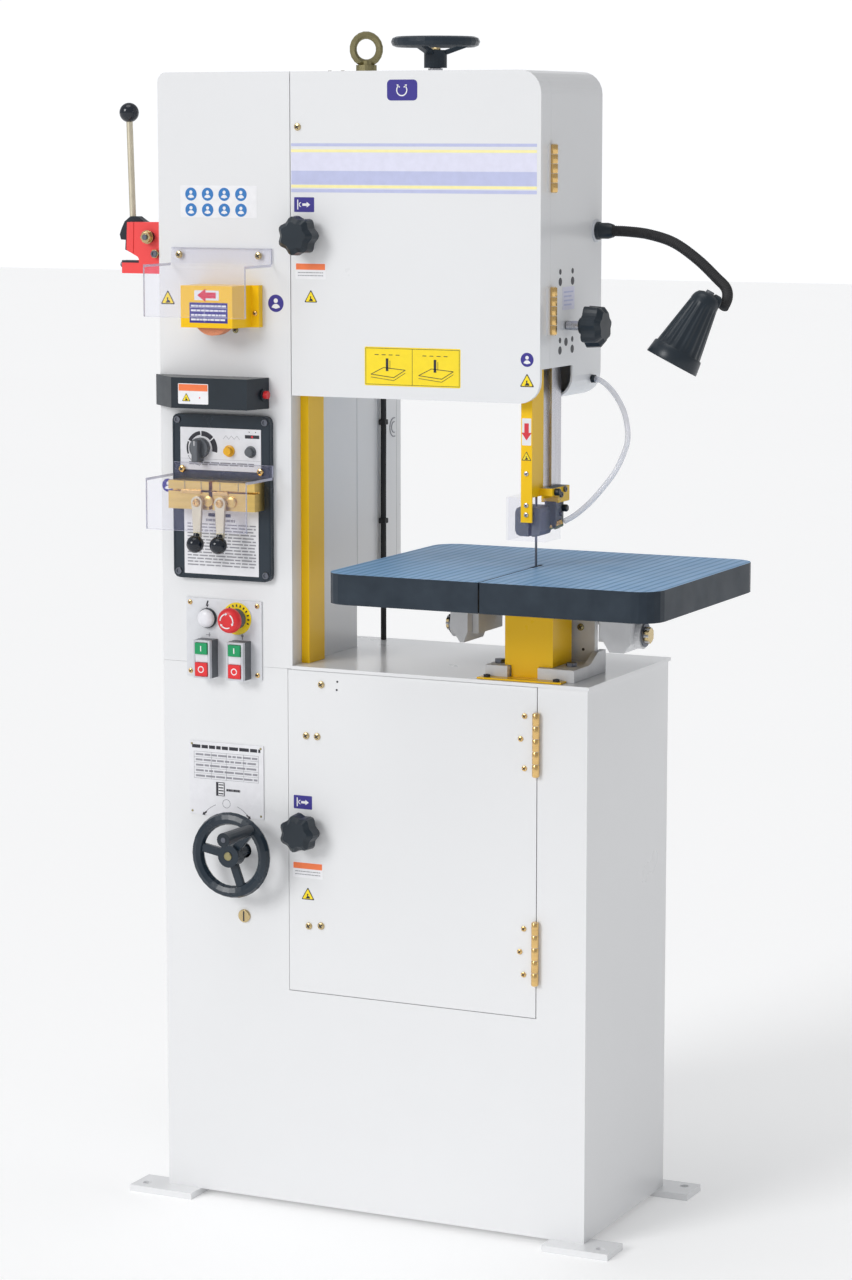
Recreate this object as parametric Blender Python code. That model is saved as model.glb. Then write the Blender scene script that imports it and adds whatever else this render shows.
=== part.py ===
"""Vertical band saw with a blade welder: column, wheel head, cabinet, tilting table and drive."""

from math import acos, atan2, cos, hypot, pi, sin

import bmesh
import bpy
from mathutils import Matrix, Vector

# Driving dimensions, in metres. X runs right from the column's left side, Y back from its front, Z up.
GAP = 0.0003
SHEET = 0.003
COLUMN_WIDE = 0.215
COLUMN_DEEP = 0.211
MACHINE_TOP = 1.670
CABINET_WIDE = 0.680
CABINET_DEEP = 0.308
CABINET_FOOT = 0.0095
CABINET_TOP = 0.817
TOP_PLATE = 0.005
HEAD_RIGHT = 0.605
HEAD_BOTTOM = 1.210
HEAD_DEEP = 0.220
HEAD_ROUND = 0.032
DOOR_DEEP = 0.0345
DOOR_SHEET = 0.0025
LOWER_DOOR_LEFT = 0.207
LOWER_DOOR_RIGHT = 0.604
LOWER_DOOR_BOTTOM = 0.332
WHEEL_X = 0.3975
WHEEL_RADIUS = 0.177
UPPER_WHEEL_Z = 1.440
LOWER_WHEEL_Z = 0.575
BLADE_INSIDE = 0.1777
BLADE_THICK = 0.0009
BLADE_FRONT = 0.0535
BLADE_BACK = 0.0600
BLADE_X = WHEEL_X + BLADE_INSIDE + BLADE_THICK / 2
TABLE_LEFT = 0.335
TABLE_WIDE = 0.500
TABLE_FRONT = -0.140
TABLE_DEEP = 0.400
TABLE_TOP = 0.975
TABLE_SKIRT = 0.043
TABLE_PLATE = 0.014
TILT_AXIS_Y = 0.071
TILT_AXIS_Z = 0.885
SHEAR_X = -0.0175
SHEAR_Z = 1.4334
SPEED_X = 0.133
SPEED_Z = 0.536
SPEED_SPOKE = 0.87
TENSION_Y = 0.100
BELT_Y = 0.095
GRINDER_X = 0.112
GRINDER_Z = 1.328
PANEL_FRONT = -0.010
GUIDE_BOTTOM = 1.014
POST_LOW = 1.088
LAMP_JOINT = (0.8285, 0.1225, 1.3430)

COLOURS = {
    "paint": ((0.80, 0.81, 0.83), 0.25, 0.0),
    "yellow": ((1.0, 0.55, 0.02), 0.3, 0.0),
    "black": ((0.02, 0.03, 0.04), 0.4, 0.0),
    "steel": ((0.55, 0.56, 0.58), 0.3, 1.0),
    "cast": ((0.55, 0.56, 0.57), 0.5, 0.0),
    "brass": ((0.75, 0.55, 0.20), 0.35, 1.0),
    "red": ((0.80, 0.05, 0.05), 0.35, 0.0),
    "green": ((0.02, 0.45, 0.15), 0.35, 0.0),
    "orange": ((0.90, 0.45, 0.03), 0.35, 0.0),
    "table": ((0.10, 0.28, 0.45), 0.45, 0.0),
    "clear": ((0.85, 0.87, 0.95), 0.1, 0.0),
    "stone": ((0.80, 0.33, 0.20), 0.9, 0.0),
    "rubber": ((0.03, 0.03, 0.03), 0.7, 0.0),
    "plate": ((0.75, 0.76, 0.78), 0.4, 0.0),
}


def clear_scene():
    for item in list(bpy.data.objects):
        bpy.data.objects.remove(item, do_unlink=True)


def material(kind):
    found = bpy.data.materials.get(kind)
    if found:
        return found
    colour, roughness, metallic = COLOURS[kind]
    made = bpy.data.materials.new(kind)
    made.use_nodes = True
    shader = made.node_tree.nodes["Principled BSDF"]
    shader.inputs["Base Color"].default_value = (*colour, 1.0)
    shader.inputs["Roughness"].default_value = roughness
    shader.inputs["Metallic"].default_value = metallic
    return made


def shape(bm):
    """A new object from a bmesh, with every face turned outwards."""
    bmesh.ops.recalc_face_normals(bm, faces=bm.faces)
    mesh = bpy.data.meshes.new("shape")
    bm.to_mesh(mesh)
    bm.free()
    made = bpy.data.objects.new("shape", mesh)
    bpy.context.scene.collection.objects.link(made)
    return made


def block(x0, x1, y0, y1, z0, z1, bevel=0.0):
    """A box between two corners, with its edges bevelled if asked."""
    bm = bmesh.new()
    bmesh.ops.create_cube(bm, size=1.0)
    bmesh.ops.scale(bm, vec=(x1 - x0, y1 - y0, z1 - z0), verts=bm.verts)
    bmesh.ops.translate(bm, vec=((x0 + x1) / 2, (y0 + y1) / 2, (z0 + z1) / 2), verts=bm.verts)
    if bevel:
        bmesh.ops.bevel(bm, geom=bm.edges[:], offset=bevel, segments=1, affect="EDGES")
    return shape(bm)


def along(direction):
    """The rotation that turns +Z to a direction."""
    return Vector((0, 0, 1)).rotation_difference(Vector(direction).normalized()).to_matrix().to_4x4()


def rod(start, end, radius, sides=16, end_radius=None):
    """A round bar, or a cone, between two points."""
    start, end = Vector(start), Vector(end)
    bm = bmesh.new()
    last = radius if end_radius is None else end_radius
    bmesh.ops.create_cone(
        bm, cap_ends=True, segments=sides, radius1=radius, radius2=last, depth=(end - start).length
    )
    place = Matrix.Translation((start + end) / 2) @ along(end - start)
    bmesh.ops.transform(bm, matrix=place, verts=bm.verts)
    return shape(bm)


def ball(centre, radius, sides=14):
    bm = bmesh.new()
    bmesh.ops.create_uvsphere(bm, u_segments=sides, v_segments=sides // 2 + 1, radius=radius)
    bmesh.ops.translate(bm, vec=centre, verts=bm.verts)
    return shape(bm)


def ring(centre, axis, radius, thick, sides=32, around=8):
    """A round-section ring: a circle of thick's radius spun about the axis."""
    bm = bmesh.new()
    circle = bmesh.ops.create_circle(bm, segments=around, radius=thick)["verts"]
    bmesh.ops.rotate(bm, cent=(0, 0, 0), matrix=Matrix.Rotation(pi / 2, 3, "X"), verts=circle)
    bmesh.ops.translate(bm, vec=(radius, 0, 0), verts=circle)
    bmesh.ops.spin(
        bm, geom=bm.edges[:], cent=(0, 0, 0), axis=(0, 0, 1), angle=2 * pi, steps=sides, use_merge=True
    )
    bmesh.ops.remove_doubles(bm, verts=bm.verts, dist=1e-6)
    place = Matrix.Translation(centre) @ along(axis)
    bmesh.ops.transform(bm, matrix=place, verts=bm.verts)
    return shape(bm)


def prism(outline, axis, low, high):
    """An outline of pairs, extruded along an axis: pairs are (y, z), (x, z) or (x, y)."""
    bm = bmesh.new()
    order = {"X": (2, 0, 1), "Y": (0, 2, 1), "Z": (0, 1, 2)}[axis]
    corners = []
    for first, second in outline:
        triple = (first, second, low)
        corners.append(bm.verts.new([triple[i] for i in order]))
    face = bm.faces.new(corners)
    grown = bmesh.ops.extrude_face_region(bm, geom=[face])["geom"]
    move = [0.0, 0.0, 0.0]
    move["XYZ".index(axis)] = high - low
    new_verts = [item for item in grown if isinstance(item, bmesh.types.BMVert)]
    bmesh.ops.translate(bm, vec=move, verts=new_verts)
    return shape(bm)


def arc(cx, cy, radius, start, end, steps):
    """Points on an arc, with angles in degrees."""
    turn = (end - start) / steps * pi / 180
    first = start * pi / 180
    return [(cx + radius * cos(first + turn * i), cy + radius * sin(first + turn * i)) for i in range(steps + 1)]


def rounded(x0, x1, z0, z1, radii, steps=4):
    """A rectangle's outline with its own corner radius: low left, low right, top right, top left."""
    corners = ((x0, z0, 180), (x1, z0, 270), (x1, z1, 0), (x0, z1, 90))
    points = []
    for (x, z, start), radius in zip(corners, radii):
        if radius == 0:
            points.append((x, z))
            continue
        cx = x + radius if x == x0 else x - radius
        cz = z + radius if z == z0 else z - radius
        points += arc(cx, cz, radius, start, start + 90, steps)
    return points


def boolean(target, tools, operation):
    """Combines solids exactly, keeps the result as the target's mesh, and removes the tools."""
    for tool in tools:
        change = target.modifiers.new("change", "BOOLEAN")
        change.operation = operation
        change.solver = "EXACT"
        change.object = tool
    graph = bpy.context.evaluated_depsgraph_get()
    graph.update()
    result = bpy.data.meshes.new_from_object(target.evaluated_get(graph))
    target.modifiers.clear()
    target.data = result
    for tool in tools:
        bpy.data.objects.remove(tool, do_unlink=True)
    return target


def cut(target, *tools):
    return boolean(target, tools, "DIFFERENCE")


def join(target, *tools):
    return boolean(target, tools, "UNION")


def finish(item, name, kind, pivot=(0, 0, 0), smooth=True):
    """Names a piece, gives it its material, and moves its origin to its joint's axis."""
    item.name = name
    item.data.name = name
    item.data.materials.clear()
    item.data.materials.append(material(kind))
    item.data.transform(Matrix.Translation(-Vector(pivot)))
    item.location = pivot
    if smooth:
        item.data.shade_smooth()
        item.data.set_sharp_from_angle(angle=0.6)
    return item


def tube(name, points, radius, kind, resolution=2, pivot=(0, 0, 0)):
    """A round cord or hose along a smooth curve through the route's points."""
    steps = 3
    smooth = []
    count = len(points)
    for i in range(count - 1):
        before = Vector(points[max(i - 1, 0)])
        here, there = Vector(points[i]), Vector(points[i + 1])
        after = Vector(points[min(i + 2, count - 1)])
        for k in range(steps):
            t = k / steps
            smooth.append(
                0.5
                * (
                    2 * here
                    + (there - before) * t
                    + (2 * before - 5 * here + 4 * there - after) * t**2
                    + (3 * here - before - 3 * there + after) * t**3
                )
            )
    smooth.append(Vector(points[-1]))
    data = bpy.data.curves.new(name, "CURVE")
    data.dimensions = "3D"
    data.resolution_u = 1
    data.bevel_depth = radius
    data.bevel_resolution = resolution
    data.use_fill_caps = True
    line = data.splines.new("POLY")
    line.points.add(len(smooth) - 1)
    for point, place in zip(line.points, smooth):
        point.co = (*(place - Vector(pivot)), 1.0)
    data.materials.append(material(kind))
    made = bpy.data.objects.new(name, data)
    made.location = pivot
    bpy.context.scene.collection.objects.link(made)
    return made


# Welded frame


def cabinet_shell():
    """The base cabinet: open at the top under its plate, with a door opening and four foot pads."""
    low = CABINET_FOOT
    high = CABINET_TOP - TOP_PLATE - GAP
    body = block(0, CABINET_WIDE, 0, CABINET_DEEP, low, high)
    hollow = block(SHEET, CABINET_WIDE - SHEET, SHEET, CABINET_DEEP - SHEET, low + SHEET, high + 0.05)
    opening = block(LOWER_DOOR_LEFT, LOWER_DOOR_RIGHT, -0.01, 0.01, LOWER_DOOR_BOTTOM, high + 0.05)
    shaft_hole = rod((SPEED_X, -0.01, SPEED_Z), (SPEED_X, 0.01, SPEED_Z), 0.012)
    body = cut(body, hollow, opening, shaft_hole)
    pads = []
    for x0, hole_x in ((-0.051, -0.032), (0.627, 0.710)):
        for y0, hole_y in ((-0.031, -0.010), (0.281, 0.320)):
            wide = 0.106 if x0 < 0 else 0.102
            pad = block(x0, x0 + wide, y0, y0 + 0.058, 0, 0.010)
            bolt_hole = rod((hole_x, hole_y, -0.01), (hole_x, hole_y, 0.02), 0.007, 12)
            pads.append(cut(pad, bolt_hole))
    finish(join(body, *pads), "cabinet_shell", "paint", smooth=False)


def cabinet_top_plate():
    """An L-shaped cover around the column, slotted where the blade goes through."""
    low, high = CABINET_TOP - TOP_PLATE, CABINET_TOP
    right, back = CABINET_WIDE + 0.003, CABINET_DEEP + 0.003
    inner = COLUMN_WIDE + GAP
    outline = [(inner, -0.003), (right, -0.003), (right, back), (0, back), (0, COLUMN_DEEP + GAP)]
    outline.append((inner, COLUMN_DEEP + GAP))
    plate = prism(outline, "Z", low, high)
    cutting_side = block(BLADE_X - 0.008, BLADE_X + 0.008, 0.044, 0.076, low - 0.01, high + 0.01)
    return_side = block(inner - 0.01, 0.226, 0.044, 0.076, low - 0.01, high + 0.01)
    finish(cut(plate, cutting_side, return_side), "cabinet_top_plate", "paint", smooth=False)


def column_box():
    """The tall box column, open at its foot and pierced for the grinder's spindle."""
    low = CABINET_TOP - TOP_PLATE
    outline = rounded(0, COLUMN_WIDE, low, MACHINE_TOP, (0, 0, 0, 0.014))
    body = prism(outline, "Y", 0, COLUMN_DEEP)
    inside = block(SHEET, COLUMN_WIDE - SHEET, SHEET, COLUMN_DEEP - SHEET, low - 0.01, MACHINE_TOP - SHEET)
    spindle_hole = rod((GRINDER_X, -0.01, GRINDER_Z), (GRINDER_X, 0.01, GRINDER_Z), 0.012)
    finish(cut(body, inside, spindle_hole), "column_box", "paint", smooth=False)


def head_outline(inset):
    radius = HEAD_ROUND - inset
    left = COLUMN_WIDE + GAP + inset
    return rounded(
        left, HEAD_RIGHT - inset, HEAD_BOTTOM + inset, MACHINE_TOP - inset, (0, radius, radius, 0), 6
    )


def guide_opening():
    """The mouth at the head's lower right corner, where the guide assembly rises into the head."""
    return block(0.540, 0.615, 0.007, 0.116, HEAD_BOTTOM - 0.01, 1.258)


def head_housing():
    """The upper wheel's housing, open at the front, with the tension slide's rails inside."""
    front = DOOR_DEEP + GAP
    body = prism(head_outline(0), "Y", front, HEAD_DEEP)
    hollow = prism(head_outline(SHEET), "Y", front - 0.01, HEAD_DEEP - SHEET)
    screw_hole = rod((WHEEL_X, TENSION_Y, 1.66), (WHEEL_X, TENSION_Y, 1.68), 0.010)
    knob_hole = rod((0.595, 0.093, 1.315), (0.615, 0.093, 1.315), 0.006, 12)
    return_slot = block(0.2155, 0.232, 0.044, 0.076, HEAD_BOTTOM - 0.01, HEAD_BOTTOM + 0.01)
    mouth = guide_opening()
    body = cut(body, hollow, screw_hole, knob_hole, return_slot, mouth)
    rails = [block(x, x + 0.015, 0.110, HEAD_DEEP - 0.002, 1.380, 1.540) for x in (0.353, 0.427)]
    post_guide = block(0.560, 0.6025, 0.070, HEAD_DEEP - 0.002, 1.295, 1.335)
    post_bore = block(0.5767, 0.5903, 0.0767, 0.1113, 1.28, 1.35)
    screw_bore = rod((0.585, 0.093, 1.315), (0.615, 0.093, 1.315), 0.006, 12)
    wheel_relief = block(0.55, 0.615, 0.130, 0.200, 1.28, 1.305)
    guide = cut(post_guide, post_bore, screw_bore, wheel_relief)
    finish(join(body, *rails, guide), "head_housing", "paint", smooth=False)


def lifting_eye():
    """A forged eye bolt turned away from the front, on its collar."""
    x, y = 0.283, 0.110
    eye = ring((x, y, 1.7025), (1, -1, 0), 0.0200, 0.0055, 20, 8)
    collar = rod((x, y, MACHINE_TOP + GAP), (x, y, MACHINE_TOP + 0.010), 0.015, 20)
    neck = rod((x, y, MACHINE_TOP + 0.008), (x, y, 1.686), 0.008, 12)
    finish(join(collar, neck, eye), "lifting_eye", "brass")


# Guards


def column_blade_guard():
    """A channel that covers the blade's return run beside the column."""
    x0, x1, y0, y1 = COLUMN_WIDE + GAP, 0.228, 0.029, 0.078
    channel = block(x0, x1, y0, y1, CABINET_TOP + GAP, HEAD_BOTTOM - GAP)
    inside = block(x0 - 0.01, x1 - 0.002, y0 + 0.002, y1 - 0.002, CABINET_TOP - 0.01, HEAD_BOTTOM + 0.01)
    finish(cut(channel, inside), "column_blade_guard", "yellow", smooth=False)


def lower_blade_guard():
    """A three-sided guard below the table, on a flange screwed to the cabinet."""
    box = block(0.539, 0.613, 0.032, 0.100, 0.8353, 0.925)
    inside = block(0.541, 0.611, 0.034, 0.11, 0.82, 0.94)
    tab = block(0.549, 0.592, 0.032, 0.034, 0.8175, 0.840)
    sill = block(0.549, 0.592, 0.015, 0.034, CABINET_TOP + GAP, 0.8195)
    flange = block(0.508, 0.638, 0.003, 0.0217, CABINET_TOP + GAP, 0.8195)
    finish(join(cut(box, inside), tab, sill, flange), "lower_blade_guard", "yellow", smooth=False)


def upper_blade_guard():
    """A bent strip in front of the blade, which rises into the head with the guide post."""
    front = block(0.567, 0.584, 0.022, 0.0245, 1.041, 1.300)
    side = block(0.5815, 0.584, 0.0235, 0.062, 1.0763, 1.300)
    left = block(0.567, 0.5695, 0.0235, 0.040, 1.0763, 1.190)
    finish(join(front, side, left), "upper_blade_guard", "yellow", smooth=False)


def clear_guard():
    """A clear channel around the blade guide."""
    outer = block(0.543, 0.6055, 0.0248, 0.076, GUIDE_BOTTOM, 1.076)
    inner = block(0.5455, 0.603, 0.0273, 0.10, GUIDE_BOTTOM - 0.01, 1.09)
    finish(cut(outer, inner), "clear_guard", "clear", smooth=False)


def grinder_guard():
    """The hood over the grinding wheel, open below and towards the column."""
    outline = [(0.066, -GAP), (0.066, -0.055), (0.150, -0.055), (0.158, -0.012), (0.170, -0.012), (0.170, -GAP)]
    hood = prism(outline, "Z", 1.307, 1.367)
    hollow = block(0.0695, 0.1465, -0.0515, 0.01, 1.29, 1.364)
    finish(cut(hood, hollow), "grinder_guard", "yellow", smooth=False)


def shield(name, x0, x1, back, front, top, shelf, bottom):
    """A bent clear shield: a screwed flange, a shelf and a front pane."""
    thick = 0.004
    outline = [(back, top), (back - thick, top), (back - thick, shelf), (front, shelf), (front, bottom)]
    outline += [(front + thick, bottom), (front + thick, shelf - thick), (back, shelf - thick)]
    finish(prism(outline, "X", x0, x1), name, "clear", smooth=False)


# Table and its trunnion


def trunnion_base():
    """The slotted base plate and the upright that carries the tilting sector."""
    plate = block(0.513, 0.650, 0.022, 0.138, CABINET_TOP + GAP, 0.835)
    notch = block(0.547, 0.594, 0.01, 0.036, 0.81, 0.85)
    blade_hole = block(0.560, 0.590, 0.044, 0.076, 0.81, 0.85)
    plate = cut(plate, notch, blade_hole)
    upright = prism(rounded(0.600, 0.6435, 0.830, 0.905, (0, 0, 0.006, 0.006), 2), "Y", 0.112, 0.124)
    rib_outline = [(0.138, 0.830), (0.138, 0.850), (0.110, 0.850), (0.098, 0.844), (0.084, 0.837), (0.070, 0.834)]
    rib_outline.append((0.070, 0.830))
    rib = prism(rib_outline, "X", 0.641, 0.650)
    finish(join(plate, upright, rib), "trunnion_base", "cast", smooth=False)


def table_cradle():
    """The sector that tilts left and right about the blade line at the table's top, with two ears."""
    sector = arc(BLADE_X, TABLE_TOP, 0.110, 209, 331, 16)
    plate = prism(sector, "Y", 0.1245, 0.137)
    bars = []
    for x0, x1 in ((0.4787, 0.488), (0.674, 0.6825)):
        ear = block(x0, x1, 0.053, 0.137, 0.874, 0.918)
        bars.append(ear)
    bridge = block(0.4787, 0.6825, 0.1245, 0.137, 0.905, 0.9245)
    item = join(plate, bridge, *bars)
    finish(item, "table_cradle", "cast", (BLADE_X, TILT_AXIS_Y, TABLE_TOP), smooth=False)


def table_bracket(name, inner, side):
    """A casting under the table that turns on a bolt through the cradle's ear."""
    x = [inner + side * step for step in (0, 0.014, 0.036, 0.045)]
    outline = [(x[0], 0.9607), (x[0], 0.884), (x[1], 0.862), (x[2], 0.862), (x[3], 0.874), (x[3], 0.9607)]
    if side < 0:
        x = [inner - step for step in (0, 0.006, 0.012, 0.027)]
        outline = [(x[0], 0.9607), (x[0], 0.878), (x[1], 0.862), (x[2], 0.862), (x[3], 0.884), (x[3], 0.9607)]
    body = prism(outline, "Y", 0.037, 0.105)
    start = x[3] - side * 0.002
    y, z = TILT_AXIS_Y, TILT_AXIS_Z
    boss = rod((start, y, z), (x[3] + side * 0.008, y, z), 0.020, 20)
    washer = rod((start, y, z), (x[3] + side * 0.0105, y, z), 0.015, 20)
    head = rod((start, y, z), (x[3] + side * 0.018, y, z), 0.0115, 6)
    finish(join(body, boss, washer, head), name, "cast", (inner, y, z))


def work_table():
    """The ribbed cast table, slotted from its front edge to the blade."""
    x0, x1 = TABLE_LEFT, TABLE_LEFT + TABLE_WIDE
    y0, y1 = TABLE_FRONT, TABLE_FRONT + TABLE_DEEP
    low = TABLE_TOP - TABLE_SKIRT
    slab = prism(rounded(x0, x1, y0, y1, (0.035,) * 4, 5), "Z", low, TABLE_TOP)
    wall = 0.012
    under = prism(
        rounded(x0 + wall, x1 - wall, y0 + wall, y1 - wall, (0.023,) * 4, 4), "Z", low - 0.01, TABLE_TOP - TABLE_PLATE
    )
    slot = block(BLADE_X - 0.00125, BLADE_X + 0.00125, y0 - 0.01, 0.045, low - 0.01, TABLE_TOP + 0.01)
    well = block(BLADE_X - 0.00275, BLADE_X + 0.00275, 0.040, 0.0795, low - 0.01, TABLE_TOP + 0.01)
    relief = block(BLADE_X - 0.013, BLADE_X + 0.013, 0.030, 0.092, low - 0.01, TABLE_TOP - 0.004)
    tick = block(BLADE_X, BLADE_X + 0.010, 0.0610, 0.0625, TABLE_TOP - 0.003, TABLE_TOP + 0.01)
    slab = cut(slab, under, slot, well, relief, tick)
    finish(slab, "work_table", "table", (BLADE_X, TILT_AXIS_Y, TILT_AXIS_Z), smooth=False)


# Blade, wheels and drive


def saw_blade():
    """The endless band around both wheels, clear of their rims by a hair."""

    def loop(radius):
        top = arc(WHEEL_X, UPPER_WHEEL_Z, radius, 0, 180, 24)
        return top + arc(WHEEL_X, LOWER_WHEEL_Z, radius, 180, 360, 24)

    band = prism(loop(BLADE_INSIDE + BLADE_THICK), "Y", BLADE_FRONT, BLADE_BACK)
    inside = prism(loop(BLADE_INSIDE), "Y", BLADE_FRONT - 0.01, BLADE_BACK + 0.01)
    finish(cut(band, inside), "saw_blade", "steel", smooth=False)


def band_wheel(z, extras, bore=None):
    """A cast wheel: rim, thinner web with five windows, and hub."""
    front, back = 0.044, 0.076
    wheel = rod((WHEEL_X, front, z), (WHEEL_X, back, z), WHEEL_RADIUS, 40)
    windows = []
    for face, deep in ((front - 0.01, front + 0.011), (back - 0.011, back + 0.01)):
        recess = rod((WHEEL_X, face, z), (WHEEL_X, deep, z), WHEEL_RADIUS - 0.016, 40)
        windows.append(recess)
    for i in range(5):
        angle = 2 * pi * i / 5 + pi / 2
        x, up = WHEEL_X + 0.102 * cos(angle), z + 0.102 * sin(angle)
        windows.append(rod((x, front - 0.01, up), (x, back + 0.01, up), 0.036, 12))
    wheel = cut(wheel, *windows)
    wheel = join(wheel, rod((WHEEL_X, front + 0.002, z), (WHEEL_X, back + 0.004, z), 0.034, 20), *extras)
    if bore:
        wheel = cut(wheel, rod((WHEEL_X, 0.0, z), (WHEEL_X, 0.2, z), bore, 20))
    return wheel


def upper_wheel():
    wheel = band_wheel(UPPER_WHEEL_Z, [], 0.0125)
    finish(wheel, "upper_wheel", "cast", (WHEEL_X, 0.06, UPPER_WHEEL_Z))


def lower_wheel():
    """The driven wheel with its shaft and belt pulley behind it."""
    z = LOWER_WHEEL_Z
    extras = [rod((WHEEL_X, 0.060, z), (WHEEL_X, 0.290, z), 0.014, 20)]
    for y0, y1, radius in ((0.0780, 0.0865, 0.100), (0.0845, 0.1055, 0.085), (0.1035, 0.1100, 0.100)):
        extras.append(rod((WHEEL_X, y0, z), (WHEEL_X, y1, z), radius, 32))
    finish(band_wheel(z, extras), "lower_wheel", "cast", (WHEEL_X, 0.06, z))


def tension_block():
    """The slide that carries the upper wheel's axle between the rails."""
    z = UPPER_WHEEL_Z
    body = block(0.3685, 0.4265, 0.086, 0.150, z - 0.030, z + 0.030)
    axle = rod((WHEEL_X, 0.040, z), (WHEEL_X, 0.090, z), 0.012, 20)
    cap = rod((WHEEL_X, 0.036, z), (WHEEL_X, 0.0415, z), 0.018, 20)
    thread = rod((WHEEL_X, TENSION_Y, z - 0.024), (WHEEL_X, TENSION_Y, z + 0.05), 0.0085, 16)
    finish(cut(join(body, axle, cap), thread), "tension_block", "cast", (WHEEL_X, 0.118, z))


def lower_bearing():
    """The lower shaft's bearing housing, bolted to the cabinet's back."""
    z = LOWER_WHEEL_Z
    barrel = rod((WHEEL_X, 0.116, z), (WHEEL_X, 0.300, z), 0.038, 24)
    plate = block(WHEEL_X - 0.070, WHEEL_X + 0.070, 0.296, CABINET_DEEP - SHEET - GAP, z - 0.070, z + 0.070)
    bore = rod((WHEEL_X, 0.10, z), (WHEEL_X, 0.31, z), 0.0145, 20)
    finish(cut(join(barrel, plate), bore), "lower_bearing", "cast")


def drive_motor():
    """The motor behind the speed handwheel, on a foot against the cabinet's left wall."""
    barrel = rod((SPEED_X, 0.130, SPEED_Z), (SPEED_X, 0.292, SPEED_Z), 0.075, 28)
    foot = block(SHEET + GAP, 0.075, 0.150, 0.270, SPEED_Z - 0.045, SPEED_Z + 0.045)
    finish(join(barrel, foot), "drive_motor", "cast")


def motor_sheave():
    """The fixed half of the speed pulley, on the motor's shaft."""
    flange = rod((SPEED_X, 0.1035, SPEED_Z), (SPEED_X, 0.1140, SPEED_Z), 0.060, 32)
    shaft = rod((SPEED_X, 0.068, SPEED_Z), (SPEED_X, 0.1297, SPEED_Z), 0.011, 16)
    finish(join(flange, shaft), "motor_sheave", "steel", (SPEED_X, BELT_Y, SPEED_Z))


def sliding_sheave():
    """The half that the speed handwheel moves along the shaft."""
    flange = rod((SPEED_X, 0.0760, SPEED_Z), (SPEED_X, 0.0865, SPEED_Z), 0.060, 32)
    bore = rod((SPEED_X, 0.06, SPEED_Z), (SPEED_X, 0.10, SPEED_Z), 0.0114, 16)
    finish(cut(flange, bore), "sliding_sheave", "steel", (SPEED_X, BELT_Y, SPEED_Z))


def belt_loop(small, large):
    """A belt's outline around the two pulleys: their outer arcs joined by the tangents."""
    dx, dz = WHEEL_X - SPEED_X, LOWER_WHEEL_Z - SPEED_Z
    tilt = atan2(dz, dx) * 180 / pi
    spread = acos((small - large) / hypot(dx, dz)) * 180 / pi
    points = arc(SPEED_X, SPEED_Z, small, tilt + spread, tilt + 360 - spread, 12)
    return points + arc(WHEEL_X, LOWER_WHEEL_Z, large, tilt - spread, tilt + spread, 20)


def drive_belt():
    band = prism(belt_loop(0.056, 0.098), "Y", 0.0885, 0.1015)
    inside = prism(belt_loop(0.047, 0.089), "Y", 0.08, 0.11)
    finish(cut(band, inside), "drive_belt", "rubber")


# Handwheels, knobs and levers


def star_outline(radius, lobes):
    count = lobes * 6
    points = []
    for i in range(count):
        angle = 2 * pi * i / count
        reach = radius * (0.92 + 0.08 * cos(lobes * angle))
        points.append((reach * cos(angle), reach * sin(angle)))
    return points


def star_knob(name, centre, axis, radius, thick, stem):
    """A lobed knob whose stem starts at centre and whose head stands out along axis."""
    bm = bmesh.new()
    outline = star_outline(radius, 7)
    low = [bm.verts.new((x, y, stem)) for x, y in outline]
    high = [bm.verts.new((x * 0.96, y * 0.96, stem + thick * 0.75)) for x, y in outline]
    crown = [bm.verts.new((x * 0.70, y * 0.70, stem + thick)) for x, y in outline]
    bm.faces.new(low)
    bm.faces.new(crown)
    count = len(outline)
    for below, above in ((low, high), (high, crown)):
        for i in range(count):
            j = (i + 1) % count
            bm.faces.new((below[i], below[j], above[j], above[i]))
    head = shape(bm)
    neck = rod((0, 0, 0), (0, 0, stem + 0.002), radius * 0.38, 16)
    knob = join(head, neck)
    knob.data.transform(Matrix.Translation(centre) @ along(axis))
    finish(knob, name, "black", centre)
    return knob


def post_clamp_knob():
    """The knob on the head's side whose screw holds the guide post."""
    x, y, z = 0.627, 0.093, 1.315
    knob = star_knob("post_clamp_knob", (x, y, z), (1, 0, 0), 0.0305, 0.028, 0.010)
    knob.data.transform(Matrix.Translation(knob.location))
    knob.location = (0, 0, 0)
    screw = rod((0.5908, y, z), (x + 0.002, y, z), 0.0055, 12)
    finish(join(knob, screw), "post_clamp_knob", "black", (x, y, z))


def handwheel(centre, axis, radius, thick, hub, hub_low, hub_high, first_spoke, dish=0.0):
    """A handwheel about axis with three flat spokes that fall by dish to its hub, from hub_low to hub_high."""
    parts = [ring((0, 0, 0), (0, 0, 1), radius - thick, thick, 32, 8)]
    for i in range(3):
        angle = first_spoke + 2 * pi * i / 3
        reach = radius - thick
        spoke = block(0.0, hypot(reach, dish), -0.0065, 0.0065, -0.0035, 0.0035, 0.001)
        lean = Matrix.Rotation(angle, 4, "Z") @ Matrix.Rotation(-atan2(dish, reach), 4, "Y")
        spoke.data.transform(Matrix.Translation((0, 0, -dish)) @ lean)
        parts.append(spoke)
    body = rod((0, 0, hub_low), (0, 0, hub_high), hub, 20)
    wheel = join(body, *parts)
    wheel.data.transform(Matrix.Translation(centre) @ along(axis))
    return wheel


def tension_handwheel():
    """The top handwheel and its screw, which turns in the slide's thread."""
    x, y = WHEEL_X, TENSION_Y
    wheel = handwheel((x, y, 1.7115), (0, 0, 1), 0.0635, 0.0075, 0.0165, -0.0365, -0.0115, 0.4, 0.020)
    screw = rod((x, y, 1.450), (x, y, 1.680), 0.008, 16)
    finish(join(wheel, screw), "tension_handwheel", "black", (x, y, 1.7115))


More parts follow.
